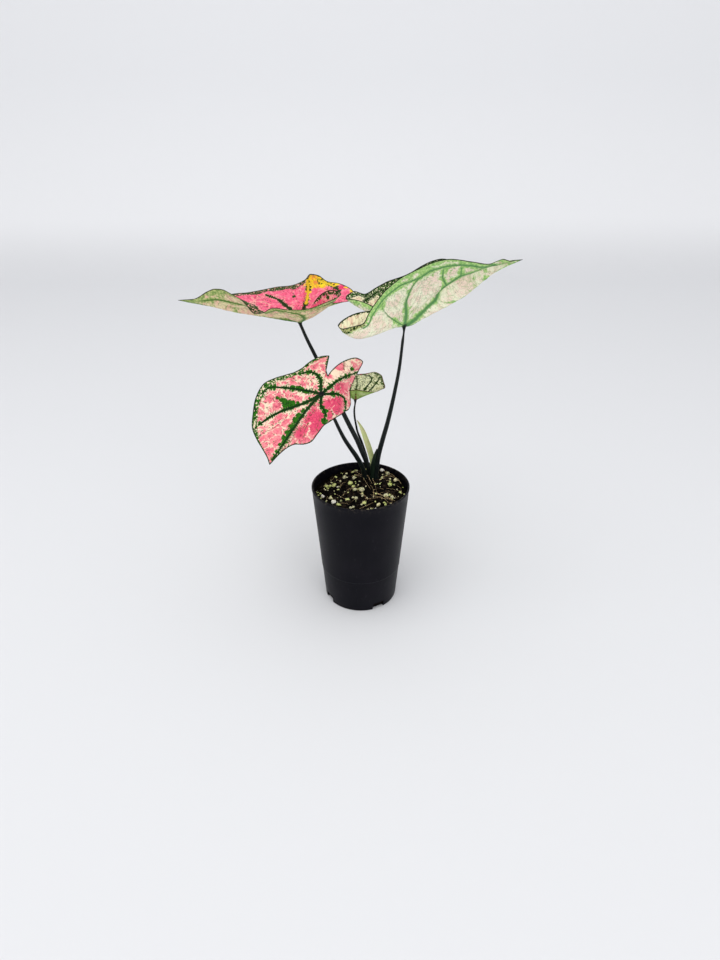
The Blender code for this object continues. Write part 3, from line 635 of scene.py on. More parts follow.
def smooth_path(points, spacing):
    """A smooth curve through the points, with a point about every so many millimetres."""
    points = np.array(points, float)
    run = np.concatenate([[0], np.cumsum(np.linalg.norm(np.diff(points[:, :3], axis=0), axis=1))])
    places = np.linspace(0, run[-1], max(4, int(run[-1] / spacing)) + 1)
    tangents = np.gradient(points, run, axis=0)
    i = np.clip(np.searchsorted(run, places, side="right") - 1, 0, len(run) - 2)
    step = (run[i + 1] - run[i])[:, None]
    t = ((places - run[i])[:, None]) / step
    return (
        (1 + 2 * t) * (1 - t) ** 2 * points[i]
        + t * (1 - t) ** 2 * step * tangents[i]
        + t * t * (3 - 2 * t) * points[i + 1]
        + t * t * (t - 1) * step * tangents[i + 1]
    )


def to_leaf(leaf, plane):
    """Points of the plane as flat bearings and shares of the way to the margin."""
    flat = np.degrees(np.arctan2(plane[:, 1], plane[:, 0]))
    reach = strip_values(leaf, flat)[1]
    return flat, np.hypot(plane[:, 0], plane[:, 1]) / reach


def main_veins(leaf):
    """Each main vein as points of the plane, with its half widths. One that begins far out joins two others."""
    found = []
    for start, end, places in leaf["veins"]:
        flat, share = np.array(places, float).T
        plane = laid_flat(leaf, flat, share)
        if share[0] < 0.5:
            plane = np.vstack([[0, 0], plane])
        plane = smooth_path(plane, 0.9)
        found.append((plane, np.linspace(start, end, len(plane))))
    return found


def side_veins(leaf, mains):
    """Branches that leave the main veins on both sides and stop half way to the next one."""
    draw = np.random.default_rng(leaf["seed"])
    found = []
    spacing = 7.5 if leaf["name"] != "small" else 5.0
    for index, (plane, _) in enumerate(mains):
        others = np.vstack([other for k, (other, _) in enumerate(mains) if k != index])
        run = np.concatenate([[0], np.cumsum(np.linalg.norm(np.diff(plane, axis=0), axis=1))])
        begin = spacing
        while begin < run[-1] - 3:
            for hand in (-1, 1):
                start = begin + draw.uniform(-0.25, 0.25) * spacing
                k = int(np.clip(np.searchsorted(run, start), 1, len(plane) - 2))
                ahead = plane[k + 1] - plane[k - 1]
                turn = math.atan2(ahead[1], ahead[0]) + hand * math.radians(draw.uniform(48, 62))
                bend = -hand * math.radians(draw.uniform(0.6, 1.6))
                path = [plane[k]]
                for _ in range(60):
                    path.append(path[-1] + 0.9 * np.array([math.cos(turn), math.sin(turn)]))
                    turn += bend
                    here = path[-1][None]
                    share = to_leaf(leaf, here)[1][0]
                    own = np.linalg.norm(plane - here, axis=1).min()
                    other = np.linalg.norm(others - here, axis=1).min()
                    if share > 0.95 or other < 0.75 * own:
                        break
                if len(path) > 5:
                    found.append((np.array(path), np.linspace(0.45, 0.22, len(path))))
            begin += spacing * draw.uniform(0.85, 1.15)
    return found


def vein_samples(leaf, veins):
    """All points of the veins on the blade, with the half width and the run along the vein at each."""
    points, widths, runs = [], [], []
    for number, (plane, width) in enumerate(veins):
        flat, share = to_leaf(leaf, plane)
        points.append(on_blade(leaf, flat, np.minimum(share, 0.995)))
        widths.append(width)
        steps = np.linalg.norm(np.diff(plane, axis=0), axis=1)
        runs.append(VEIN_APART * number + np.concatenate([[0], np.cumsum(steps)]))
    return np.vstack(points), np.concatenate(widths), np.concatenate(runs)


def nearest(points, targets):
    """For each point, the index of the nearest target and its distance."""
    tree = KDTree(len(targets))
    for i, target in enumerate(targets):
        tree.insert(target, i)
    tree.balance()
    found = [tree.find(point) for point in points]
    return np.array([hit[1] for hit in found]), np.array([hit[2] for hit in found])


def edge_distance(leaf, points):
    dense = np.linspace(-180, 180, 1800)
    margin = on_blade(leaf, dense, np.ones(len(dense)))
    return nearest(points, margin)[1]


def tone_strength(leaf, name, plane):
    """How strongly a tone covers each point of the plane."""
    left = np.ones(len(plane))
    for flat, share, radius, strength in leaf["tones"].get(name, ()):
        centre = laid_flat(leaf, np.array([float(flat)]), np.array([share]))[0]
        away = np.linalg.norm(plane - centre, axis=1)
        left *= 1 - strength * np.exp(-((away / radius) ** 2))
    return 1 - left


def smooth_step(value, low, high):
    t = np.clip((value - low) / (high - low), 0, 1)
    return t * t * (3 - 2 * t)


def grid_normals(grid, middle):
    """Upward unit normals of a ring grid whose first ring surrounds the middle point."""
    along = np.gradient(np.concatenate([np.repeat(middle[None, None], len(grid), 0), grid], 1), axis=1)[:, 1:]
    around = (np.roll(grid, -1, 0) - np.roll(grid, 1, 0)) / 2
    normal = np.cross(along, around)
    return normal / np.linalg.norm(normal, axis=2, keepdims=True)


def make_blade(leaf):
    spokes, rings = leaf["spokes"], leaf["rings"]
    shares = np.linspace(0, 1, rings + 1)[1:]
    flats = even_flats(leaf)
    flat = np.repeat(flats, rings)
    share = np.tile(shares, spokes)
    middle = np.array(leaf["seat"])
    grid = on_blade(leaf, flat, share).reshape(spokes, rings, 3)
    normals = grid_normals(grid, middle).reshape(-1, 3)
    centre_normal = normals.reshape(spokes, rings, 3)[:, 0].mean(0)
    normals = np.vstack([centre_normal / np.linalg.norm(centre_normal), normals])
    points = np.vstack([middle, grid.reshape(-1, 3)])
    plane = np.vstack([[0, 0], laid_flat(leaf, flat, share)])

    mains = main_veins(leaf)
    sides = side_veins(leaf, mains)
    samples, widths, runs = vein_samples(leaf, mains)
    hit, vein_mm = nearest(points, samples)
    vein, along = vein_mm / widths[hit], runs[hit]
    samples, widths, _ = vein_samples(leaf, sides)
    hit, side_mm = nearest(points, samples)
    side = side_mm / widths[hit]
    edge = edge_distance(leaf, points)

    any_mm = np.minimum(vein_mm, 1.0 + 1.6 * side_mm)
    inner = smooth_step(edge, 0.5, 8)
    size = 0.5 if leaf["name"] == "small" else 1.0
    puff = QUILTING[leaf["name"]] * smooth_step(any_mm, 0, 5.5) * inner
    wander = np.array([noise.noise(Vector((*place, leaf["seed"])) / 6) for place in plane])
    puff += 0.22 * size * wander * inner
    ridge = np.exp(-((vein / 1.1) ** 2)) + SIDE_RIDGE[leaf["name"]] * np.exp(-((side / 1.2) ** 2))
    ridge *= smooth_step(edge, 0, 4)
    half = MARGIN_THICKNESS / 2 + (BLADE_THICKNESS - MARGIN_THICKNESS) / 2 * smooth_step(edge, 0, 6)
    upper = points + normals * (half + puff - VEIN_GROOVE * size * ridge)[:, None]
    under = points - normals * (half - puff + VEIN_RIDGE * size * ridge)[:, None]

    count = len(points)
    index = 1 + np.arange(spokes * rings).reshape(spokes, rings)
    there = np.roll(index, -1, 0)
    fan = [(0, int(a), int(b)) for a, b in zip(index[:, 0], there[:, 0])]
    quads = np.stack([index[:, :-1], index[:, 1:], there[:, 1:], there[:, :-1]], -1).reshape(-1, 4)
    tops = fan + [tuple(map(int, quad)) for quad in quads]
    bottoms = [tuple(i + count for i in reversed(face)) for face in tops]
    rims = [
        (int(a), int(a) + count, int(b) + count, int(b)) for a, b in zip(index[:, -1], there[:, -1])
    ]
    mesh = bpy.data.meshes.new("leaf_" + leaf["name"])
    mesh.from_pydata((np.vstack([upper, under]) * MM).tolist(), [], tops + bottoms + rims)
    mesh.materials.append(UPPER_LOOKS[leaf["name"]]())
    mesh.materials.append(UNDER_LOOKS[leaf["name"]]())
    sides_of = [0] * len(tops) + [1] * len(bottoms) + [0] * len(rims)
    mesh.polygons.foreach_set("material_index", sides_of)
    mesh.shade_smooth()
    seat = np.linalg.norm(points - middle, axis=1)
    values = {"vein": vein, "vein_mm": vein_mm, "along": along, "side_mm": side_mm, "edge": edge, "seat": seat}
    values |= {name: tone_strength(leaf, name, plane) for name in TONES}
    for name, value in values.items():
        attribute = mesh.attributes.new(name, "FLOAT", "POINT")
        attribute.data.foreach_set("value", np.tile(value, 2).astype(np.float32))
    laid = np.column_stack([plane, np.full(count, 10.0 * leaf["seed"])])
    attribute = mesh.attributes.new("laid", "FLOAT_VECTOR", "POINT")
    attribute.data.foreach_set("vector", np.tile(laid, (2, 1)).astype(np.float32).ravel())
    obj = add_object("leaf_" + leaf["name"], mesh)
    return finish_piece(obj, ["blade_" + leaf["name"]])


def upper_look(
    name, blotch, deep, cream, vein, green, rim, net,
    feather=1.6, halo=1.6, band=(0.8, 4.5), specks=0.5, cell=8.0, gold=None,
):
    """The upper side of a caladium leaf: blotches of colour between feathered dark veins."""
    m = Material(name, 0.5, 0.1)
    laid = m.attribute("laid", "Vector")
    edge = m.attribute("edge")
    vein_mm = m.attribute("vein_mm")
    side_mm = m.attribute("side_mm")
    fine = m.noise(laid, 1.3, 3.0)
    creamy = m.attribute("cream")
    deeper = m.ragged(m.attribute("deep"), laid, 0.8, 5.0)

    comb_place = m.node("ShaderNodeCombineXYZ", {0: m.attribute("along"), 1: m.math("MULTIPLY", vein_mm, 0.22)})
    comb = m.noise(comb_place.outputs[0], 1.5, 2.0)
    barbs = m.math("MULTIPLY_ADD", m.math("SUBTRACT", 0.52, comb), 11.0, vein_mm)
    barbs = m.ragged(barbs, laid, 3.0, 1.6)

    swirl = m.node("ShaderNodeTexNoise", {"Vector": laid, "Scale": 0.22, "Detail": 1.0}).outputs["Color"]
    bent = m.node("ShaderNodeVectorMath", {0: swirl, 1: (7.0, 7.0, 0.0), 2: laid}, operation="MULTIPLY_ADD").outputs[0]
    gaps = m.math("MULTIPLY", m.cells(bent, cell), 1.5 * cell)
    inside = m.math("MINIMUM", m.math("ADD", gaps, 0.5), m.math("SUBTRACT", barbs, feather))
    inside = m.ragged(m.ragged(inside, laid, 4.0, 2.2), laid, 5.0, 9.0)
    inside = m.math("MULTIPLY_ADD", creamy, -4.5, inside)
    inside = m.math("MULTIPLY_ADD", deeper, 1.2, inside)
    middling = [(a + b) / 2 for a, b in zip(blotch, deep)]
    blush = m.mix(m.step(m.noise(laid, 3.0, 3.0), 0.4, 0.62), linear(*blotch), linear(*middling))
    blush = m.mix(m.math("MULTIPLY", m.step(inside, halo + 1.0, halo + 4.0), 0.6), blush, linear(*middling))
    blush = m.mix(m.step(deeper, 0.25, 0.9), blush, linear(*deep))
    colour = m.mix(m.step(inside, halo - 0.9, halo + 0.5), linear(*cream), blush)
    if gold:
        gold_share = m.ragged(m.attribute("gold"), laid, 1.7, 3.0)
        spotty = m.mix(m.step(m.noise(laid, 4.0, 3.0), 0.5, 0.68), linear(*gold[0]), linear(*gold[1]))
        colour = m.mix(m.step(gold_share, 0.36, 0.5), colour, spotty)

    net_line = m.step(m.ragged(m.cells(laid, 3.2), laid, 0.1, 1.5), 0.08, 0.02)
    net_share = m.math("MULTIPLY", net_line, m.step(m.noise(laid, 6.0, 1.0), 0.35, 0.6))
    colour = m.mix(m.math("MULTIPLY", net_share, 0.55), colour, linear(*net))
    speck = m.step(m.cells(laid, 1.7, "F1"), 0.42, 0.3)
    where = m.ragged(m.math("MINIMUM", m.math("MULTIPLY", side_mm, 1.6), vein_mm), laid, 9.0, 5.0)
    some = m.math("MULTIPLY", m.step(m.cells(laid, 1.7, "F1", "Color"), 0.3, 0.32), speck)
    colour = m.mix(m.math("MULTIPLY", some, m.step(where, 1.0 + specks, specks)), colour, linear(*green))

    broken = m.step(m.noise(laid, 2.2, 2.0), 0.4, 0.56)
    side_line = m.step(m.ragged(side_mm, laid, 1.8, 1.4), 0.4, 0.1)
    colour = m.mix(m.math("MULTIPLY", m.math("MULTIPLY", side_line, broken), 0.8), colour, linear(*vein))
    leafy = m.mix(m.step(fine, 0.46, 0.66), linear(*green), linear(*vein))
    green_share = m.ragged(m.attribute("green"), laid, 1.3, 1.5)
    lush = m.mix(m.step(fine, 0.42, 0.7), linear(*green), linear(*vein))
    colour = m.mix(m.step(green_share, 0.36, 0.46), colour, lush)
    colour = m.mix(m.step(barbs, feather + 0.25, feather - 0.25), colour, leafy)

    band_width = m.math("MULTIPLY_ADD", m.attribute("wide"), band[1] - band[0], band[0])
    margin = m.math("DIVIDE", m.ragged(edge, laid, 4.5, 1.7), band_width)
    patchy = m.mix(m.step(m.noise(laid, 1.5, 2.0), 0.54, 0.6), linear(*green), linear(*cream))
    speckled = m.mix(m.step(m.noise(laid, 2.1, 2.0), 0.4, 0.46), linear(*vein), patchy)
    colour = m.mix(m.step(margin, 1.1, 0.8), colour, speckled)
    colour = m.mix(m.step(m.attribute("vein"), 1.35, 0.8), colour, linear(*vein))
    if gold:
        broad = m.step(m.ragged(vein_mm, laid, 3.0, 1.5), 1.7, 1.1)
        on_vein = m.math("MULTIPLY", m.step(m.attribute("gold"), 0.12, 0.3), broad)
        colour = m.mix(on_vein, colour, linear(222, 190, 44))
    colour = m.mix(m.step(m.ragged(edge, laid, 1.0, 2.0), 1.1, 0.75), colour, linear(*rim))
    red_share = m.ragged(m.attribute("red"), laid, 0.5, 1.5)
    colour = m.mix(m.step(red_share, 0.35, 0.65), colour, linear(140, 16, 46))
    seat = m.ragged(m.attribute("seat"), laid, 1.2, 1.0)
    colour = m.mix(m.step(seat, 3.4, 2.0), colour, linear(16, 15, 18))
    return m.finish(colour, m.math("ADD", m.math("MULTIPLY", net_line, -0.6), fine), 0.00016)


def under_look(name, base, halo, middle, vein, rim, patch, tip):
    """The under side: pale panels, a green haze along the veins and the margin, and a fine net."""
    m = Material(name, 0.55, 0.06)
    laid = m.attribute("laid", "Vector")
    edge = m.attribute("edge")
    vein_mm = m.attribute("vein_mm")
    side_mm = m.attribute("side_mm")
    mottle = m.noise(laid, 2.0, 4.0)
    broad = m.noise(laid, 7.0, 2.0)

    colour = m.mix(m.step(broad, 0.4, 0.6), linear(*base), linear(*patch))
    deep = m.ragged(m.attribute("deep"), laid, 0.9, 3.0)
    colour = m.mix(m.math("MULTIPLY", m.step(deep, 0.25, 0.7), 0.85), colour, linear(*tip))

    near = m.math("MINIMUM", m.math("MULTIPLY", vein_mm, 0.8), m.math("MULTIPLY_ADD", side_mm, 1.5, 2.2))
    near = m.math("MINIMUM", near, m.math("MULTIPLY", edge, 0.5))
    near = m.ragged(m.ragged(near, laid, 6.0, 2.2), laid, 9.0, 8.0)
    near = m.math("MULTIPLY_ADD", m.attribute("cream"), 3.5, near)
    near = m.math("MULTIPLY_ADD", m.attribute("green"), -4.5, near)
    haze = m.mix(m.step(mottle, 0.4, 0.6), linear(*halo), linear(*middle))
    colour = m.mix(m.math("MULTIPLY", m.step(near, 3.6, 1.0), 0.95), colour, haze)

    thin = m.ragged(m.cells(laid, 2.7), laid, 0.16, 1.2)
    net_line = m.math("MULTIPLY", m.step(thin, 0.1, 0.02), m.step(m.noise(laid, 3.5, 2.0), 0.36, 0.58))
    colour = m.mix(m.math("MULTIPLY", net_line, 0.4), colour, linear(*halo))
    small_net = m.step(m.cells(laid, 1.2), 0.12, 0.03)
    colour = m.mix(m.math("MULTIPLY", small_net, 0.18), colour, linear(*vein))
    flecks = m.step(m.cells(laid, 1.9, "F1"), 0.26, 0.14)
    sparse = m.step(m.noise(laid, 4.0, 1.0), 0.48, 0.6)
    colour = m.mix(m.math("MULTIPLY", m.math("MULTIPLY", flecks, sparse), 0.7), colour, linear(*vein))

    side_line = m.step(m.ragged(side_mm, laid, 2.6, 1.8), 0.65, 0.1)
    colour = m.mix(m.math("MULTIPLY", side_line, 0.3), colour, linear(*vein))
    soft = m.ragged(m.attribute("vein"), laid, 1.6, 1.6)
    colour = m.mix(m.math("MULTIPLY", m.step(soft, 2.6, 0.5), 0.92), colour, linear(*vein))
    lip = m.math("DIVIDE", m.ragged(edge, laid, 5.0, 1.8), m.math("MULTIPLY_ADD", m.attribute("lip"), 6.0, 0.01))
    dark_lip = m.mix(m.step(m.noise(laid, 1.8, 2.0), 0.44, 0.54), linear(30, 56, 16), linear(176, 182, 120))
    colour = m.mix(m.step(lip, 1.1, 0.8), colour, dark_lip)
    colour = m.mix(m.step(m.ragged(edge, laid, 0.6, 2.0), 1.0, 0.5), colour, linear(*rim))
    red_share = m.ragged(m.attribute("red"), laid, 0.5, 1.5)
    colour = m.mix(m.step(red_share, 0.4, 0.7), colour, linear(112, 32, 40))
    seat = m.ragged(m.attribute("seat"), laid, 1.2, 1.0)
    colour = m.mix(m.math("MULTIPLY", m.step(seat, 3.6, 1.6), 0.85), colour, linear(48, 58, 52))
    return m.finish(colour, m.math("ADD", m.math("MULTIPLY", net_line, 0.7), mottle), 0.0002)


def right_upper():
    return upper_look(
        "right_upper", blotch=(240, 222, 190), deep=(236, 190, 168), cream=(240, 236, 200), vein=(14, 42, 6),
        green=(44, 84, 20), rim=(10, 26, 4), net=(150, 110, 84), feather=1.8, halo=2.0, band=(1.6, 9.0),
        specks=0.9,
    )


def right_under():
    return under_look(
        "right_under", base=(250, 246, 220), halo=(134, 192, 98), middle=(192, 226, 142),
        vein=(84, 138, 84), rim=(52, 60, 46), patch=(250, 226, 210), tip=(186, 158, 116),
    )


def left_upper():
    return upper_look(
        "left_upper", blotch=(244, 122, 150), deep=(230, 58, 104), cream=(240, 168, 160), vein=(26, 50, 12),
        green=(44, 76, 24), rim=(44, 50, 26), net=(168, 50, 78), feather=2.1, halo=0.8, band=(0.9, 9.0),
        specks=-0.4, cell=8.0, gold=((246, 214, 40), (240, 158, 70)),
    )


def left_under():
    return under_look(
        "left_under", base=(246, 228, 184), halo=(122, 158, 80), middle=(200, 208, 136),
        vein=(78, 120, 54), rim=(56, 54, 40), patch=(248, 196, 176), tip=(248, 184, 166),
    )


def front_upper():
    return upper_look(
        "front_upper", blotch=(244, 150, 154), deep=(226, 76, 112), cream=(246, 222, 196), vein=(4, 48, 3),
        green=(40, 106, 8), rim=(10, 44, 8), net=(150, 34, 62), feather=2.1, halo=1.3, band=(0.9, 6.5),
        specks=0.3, cell=8.0,
    )


def front_under():
    return under_look(
        "front_under", base=(236, 200, 182), halo=(124, 160, 92), middle=(188, 196, 138),
        vein=(66, 108, 60), rim=(48, 64, 42), patch=(238, 178, 172), tip=(226, 154, 150),
    )


def small_upper():
    return upper_look(
        "small_upper", blotch=(222, 220, 176), deep=(206, 190, 146), cream=(238, 240, 200), vein=(26, 54, 16),
        green=(74, 100, 36), rim=(92, 70, 38), net=(110, 118, 66), feather=1.1, halo=1.4, band=(1.0, 4.0),
        specks=2.0, cell=6.0,
    )


def small_under():
    return under_look(
        "small_under", base=(190, 212, 136), halo=(146, 176, 84), middle=(176, 202, 116),
        vein=(112, 142, 68), rim=(72, 48, 34), patch=(206, 218, 156), tip=(186, 160, 120),
    )


UPPER_LOOKS = {"right": right_upper, "left": left_upper, "front": front_upper, "small": small_upper}
UNDER_LOOKS = {"right": right_under, "left": left_under, "front": front_under, "small": small_under}


# The stalks and the sheath

def loft(name, sections, smooth=True):
    """A closed surface through rings of points that all have the same number of points."""
    sides = len(sections[0])
    points = np.vstack(sections)
    faces = []
    for ring in range(len(sections) - 1):
        for side in range(sides):
            after = (side + 1) % sides
            low, high = ring * sides, (ring + 1) * sides
            faces.append((low + side, low + after, high + after, high + side))
    faces.append(tuple(range(sides))[::-1])
    faces.append(tuple(range(len(points) - sides, len(points))))
    bm = bmesh.new()
    verts = [bm.verts.new(point * MM) for point in points]
    for face in faces:
        bm.faces.new([verts[i] for i in face])
    bmesh.ops.recalc_face_normals(bm, faces=bm.faces)
    mesh = bpy.data.meshes.new(name)
    bm.to_mesh(mesh)
    bm.free()
    if smooth:
        mesh.shade_smooth()
        mesh.set_sharp_from_angle(angle=math.radians(50))
    return mesh


def frames_along(points):
    """Two unit vectors across the path at each point, carried along it without twist."""
    tangents = np.gradient(points, axis=0)
    tangents /= np.linalg.norm(tangents, axis=1, keepdims=True)
    across = np.cross(tangents[0], (0.0, 1.0, 0.0))
    across /= np.linalg.norm(across)
    pairs = []
    for tangent in tangents:
        across = across - tangent * np.dot(across, tangent)
        across /= np.linalg.norm(across)
        pairs.append((across, np.cross(tangent, across)))
    return pairs


def tube_sections(path, sides, ribs, seed):
    """Rings round a path of x, y, z and radius, with slight ribs that run along it."""
    sections = []
    for (x, y, z, radius), (across, through) in zip(path, frames_along(path[:, :3])):
        ring = []
        for side in range(sides):
            turn = 2 * math.pi * side / sides
            swell = 1 + ribs * math.sin(5 * turn + seed) + 0.02 * noise.noise(Vector((z / 7, side, seed)))
            way = math.cos(turn) * across + math.sin(turn) * through
            ring.append(np.array([x, y, z]) + radius * swell * way)
        sections.append(np.array(ring))
    return sections


def stalk_path(leaf):
    """From the blade's under side down the stalk. It flares a little where it meets the blade."""
    _, _, top = leaf_axes(leaf)
    seat = np.array(leaf["seat"])
    route = STALKS[leaf["name"]]
    radius = route[0][3]
    away = np.array(route[0][:3]) - seat
    away = away / np.linalg.norm(away) - 0.5 * top
    start = [(*(seat - 0.1 * top), 1.6 * radius), (*(seat + 1.2 * away), 1.15 * radius)]
    return smooth_path(start + list(route), 1.5)


def stalk_look(name, dark, light):
    """Nearly black green stalk with a sheen, and faint paler streaks along it."""
    m = Material(name, 0.38, 0.16)
    place = m.place()
    streaks = m.noise(place, 1.0, 3.0, (2.2, 2.2, 0.12))
    spots = m.noise(place, 1.2, 2.0)
    colour = m.mix(m.step(streaks, 0.45, 0.72), linear(*dark), linear(*light))
    colour = m.mix(m.math("MULTIPLY", m.step(spots, 0.6, 0.7), 0.35), colour, linear(44, 56, 52))
    return m.finish(colour, streaks, 0.0001)


def make_stalks():
    look = stalk_look("stalk_skin", (12, 18, 18), (26, 35, 34))
    for leaf in LEAVES:
        name = leaf["name"]
        mesh = loft("petiole_" + name, tube_sections(stalk_path(leaf), 24, 0.012, leaf["seed"]))
        mesh.materials.append(look)
        obj = add_object("petiole_" + name, mesh)
        finish_piece(obj, ["stalk_" + name])
    flap = loft("petiole_flap", tube_sections(smooth_path(FLAP, 1.5), 20, 0.03, 5))
    flap.materials.append(stalk_look("flap_skin", (14, 26, 20), (32, 48, 32)))
    finish_piece(add_object("petiole_flap", flap))


def sheath_look():
    m = Material("sheath_skin", 0.5, 0.35)
    place = m.place()
    lines = m.noise(place, 0.7, 2.0, (2.0, 2.0, 0.08))
    broad = m.noise(place, 9.0, 1.0)
    colour = m.mix(m.step(lines, 0.4, 0.65), linear(222, 232, 166), linear(188, 204, 130))
    colour = m.mix(m.math("MULTIPLY", m.step(broad, 0.45, 0.7), 0.5), colour, linear(214, 206, 160))
    height = m.node("ShaderNodeSeparateXYZ", {0: place}).outputs[2]
    colour = m.mix(m.math("MULTIPLY", m.step(height, 178, 184), 0.6), colour, linear(150, 120, 80))
    return m.finish(colour, lines, 0.00012)


def make_sheath():
    """A thin leaf rolled half round, open towards the stalks, that comes to a point."""
    sections = []
    for x, y, z, half in smooth_path(SHEATH, 1.5):
        turns = np.linspace(0, math.pi, 13)
        outer = [(x + half * math.cos(t), y + 2.2 * SHEATH_FLATNESS * half * (math.sin(t) - 0.45), z) for t in turns]
        inner = [
            (x + 0.86 * half * math.cos(t), y + 2.2 * SHEATH_FLATNESS * half * (0.62 * math.sin(t) - 0.45), z)
            for t in turns[::-1]
        ]
        sections.append(np.array(outer + inner))
    mesh = loft("sheath_leaf", sections)
    mesh.materials.append(sheath_look())
    finish_piece(add_object("sheath_leaf", mesh), ["sheath"])


# The pot

def wall_radius(z):
    """Outer radius of the pot's plain wall at a height."""
    return FOOT_RADIUS + (RIM_RADIUS - FOOT_RADIUS) * z / POT_HEIGHT


def inner_radius(z):
    return wall_radius(z) - WALL


def pot_profile():
    """From the middle of the floor's upper face, up inside, over the lip and down outside."""
    lip_foot = POT_HEIGHT - LIP_HEIGHT
    corner = [(inner_radius(3.0) - 1.4 * (1 - math.sin(t)), FLOOR + 1.4 * (1 - math.cos(t))) for t in np.linspace(0, 1.5, 5)]
    inside = [(0, FLOOR)] + corner
    inside += [(inner_radius(z), z) for z in (STEP_HEIGHT, 80.0, POT_HEIGHT - 2.0)]
    crown = RIM_RADIUS - LIP_WALL / 2
    bend = [
        (crown - LIP_WALL / 2 * math.cos(t), POT_HEIGHT - LIP_WALL / 2 + LIP_WALL / 2 * math.sin(t))
        for t in np.linspace(0.35, math.pi, 11)
    ]
    lip = bend + [(RIM_RADIUS - 0.1, lip_foot + 0.5), (RIM_RADIUS - 0.2, lip_foot + 0.15)]
    lip += [(wall_radius(lip_foot) - 0.3, lip_foot), (wall_radius(lip_foot) - 0.38, lip_foot - 0.3)]
    above_step = wall_radius(STEP_HEIGHT) + STEP_DEPTH / 2
    below_step = wall_radius(STEP_HEIGHT) - STEP_DEPTH / 2
    outside = [(wall_radius(120.0), 120.0), (wall_radius(80.0), 80.0), (above_step - 0.02, STEP_HEIGHT + 1.2)]
    outside += [(above_step, STEP_HEIGHT + 0.5), (above_step - 0.1, STEP_HEIGHT)]
    outside += [(below_step, STEP_HEIGHT - 0.35), (below_step - 0.05, STEP_HEIGHT - 1.2)]
    foot = [(FOOT_RADIUS - 1.2 * (1 - math.cos(t)), 1.2 * (1 - math.sin(t))) for t in np.linspace(0, 1.5, 6)]
    return inside + lip + outside + foot + [(FOOT_RADIUS - 1.3, 0), (0, 0)]


def turned(name, profile, steps):
    mesh = bpy.data.meshes.new(name)
    points = [(radius * MM, 0, z * MM) for radius, z in profile]
    mesh.from_pydata(points, [(i, i + 1) for i in range(len(points) - 1)], [])
    obj = add_object(name, mesh)
    screw = obj.modifiers.new("turn", "SCREW")
    screw.steps = steps
    screw.render_steps = steps
    screw.use_merge_vertices = True
    screw.merge_threshold = 0.00001
    return obj


def notch_cutter(bearing):
    bm = bmesh.new()
    bmesh.ops.create_cube(bm, size=1)
    size = (NOTCH_WIDTH, 2 * NOTCH_DEPTH, 2 * NOTCH_HEIGHT)
    bmesh.ops.scale(bm, vec=[side * MM for side in size], verts=bm.verts)
    upright = [edge for edge in bm.edges if abs(edge.verts[0].co.y - edge.verts[1].co.y) > 0.001]
    bmesh.ops.bevel(bm, geom=upright, offset=2.5 * MM, segments=8, affect="EDGES", profile=0.5)
    mesh = bpy.data.meshes.new("notch")
    bm.to_mesh(mesh)
    bm.free()
    notch = add_object("notch", mesh)
    turn = math.radians(bearing)
    middle = (FOOT_RADIUS + 1.0) * MM
    notch.location = (middle * math.sin(turn), -middle * math.cos(turn), 0)
    notch.rotation_euler = (0, 0, turn)
    return notch


def apply_modifiers(obj):
    bpy.context.view_layer.update()
    mesh = bpy.data.meshes.new_from_object(obj.evaluated_get(bpy.context.evaluated_depsgraph_get()))
    obj.modifiers.clear()
    obj.data = mesh


def pot_look():
    """Charcoal plastic, satin, with faint clouds and scuffs from handling, and dust near the rim."""
    m = Material("pot_plastic", 0.45, 0.08)
    place = m.place()
    clouds = m.noise(place, 30.0, 3.0)
    scuffs = m.noise(place, 2.0, 4.0, (1.0, 1.0, 0.25))
    colour = m.mix(m.step(clouds, 0.4, 0.7), linear(12, 12, 19), linear(17, 16, 23))
    colour = m.mix(m.math("MULTIPLY", m.step(scuffs, 0.62, 0.75), 0.16), colour, linear(74, 72, 78))
    height = m.node("ShaderNodeSeparateXYZ", {0: place}).outputs[2]
    dust = m.math("MULTIPLY", m.step(height, 124, 131), m.step(m.noise(place, 3.0, 3.0), 0.5, 0.7))
    colour = m.mix(m.math("MULTIPLY", dust, 0.3), colour, linear(92, 84, 74))
    grain = m.noise(place, 0.5, 2.0)
    rough = m.math("MULTIPLY_ADD", clouds, 0.14, 0.34)
    return m.finish(colour, grain, 0.00003, rough)


def make_pot():
    pot = turned("pot_shell", pot_profile(), POT_STEPS)
    cutters = bpy.data.collections.new("notches")
    for bearing in NOTCH_BEARINGS:
        notch = notch_cutter(bearing)
        bpy.context.scene.collection.objects.unlink(notch)
        cutters.objects.link(notch)
    bpy.context.scene.collection.children.link(cutters)
    boolean = pot.modifiers.new("cut", "BOOLEAN")
    boolean.operation = "DIFFERENCE"
    boolean.solver = "EXACT"
    boolean.operand_type = "COLLECTION"
    boolean.collection = cutters
    apply_modifiers(pot)
    for notch in list(cutters.objects):
        bpy.data.objects.remove(notch)
    bpy.data.collections.remove(cutters)
    pot.data.materials.clear()
    pot.data.materials.append(pot_look())
    pot.data.shade_smooth()
    pot.data.set_sharp_from_angle(angle=math.radians(35))
    finish_piece(pot, ["pot"])


# The potting mix

def soil_height(x, y):
    """Height of the mix: a low mound round the crown, with the relief of its grains."""
    away = math.hypot(x - CROWN[0], y - CROWN[1])
    mound = SOIL_MOUND * math.exp(-((away / SOIL_MOUND_RADIUS) ** 2))
    relief = noise.noise(Vector((x / GRAIN_SIZE, y / GRAIN_SIZE, 4.0)))
    coarse = noise.noise(Vector((x / 17.0, y / 17.0, 9.0)))
    return SOIL_EDGE_HEIGHT + mound + GRAIN_RELIEF * relief + 1.5 * coarse


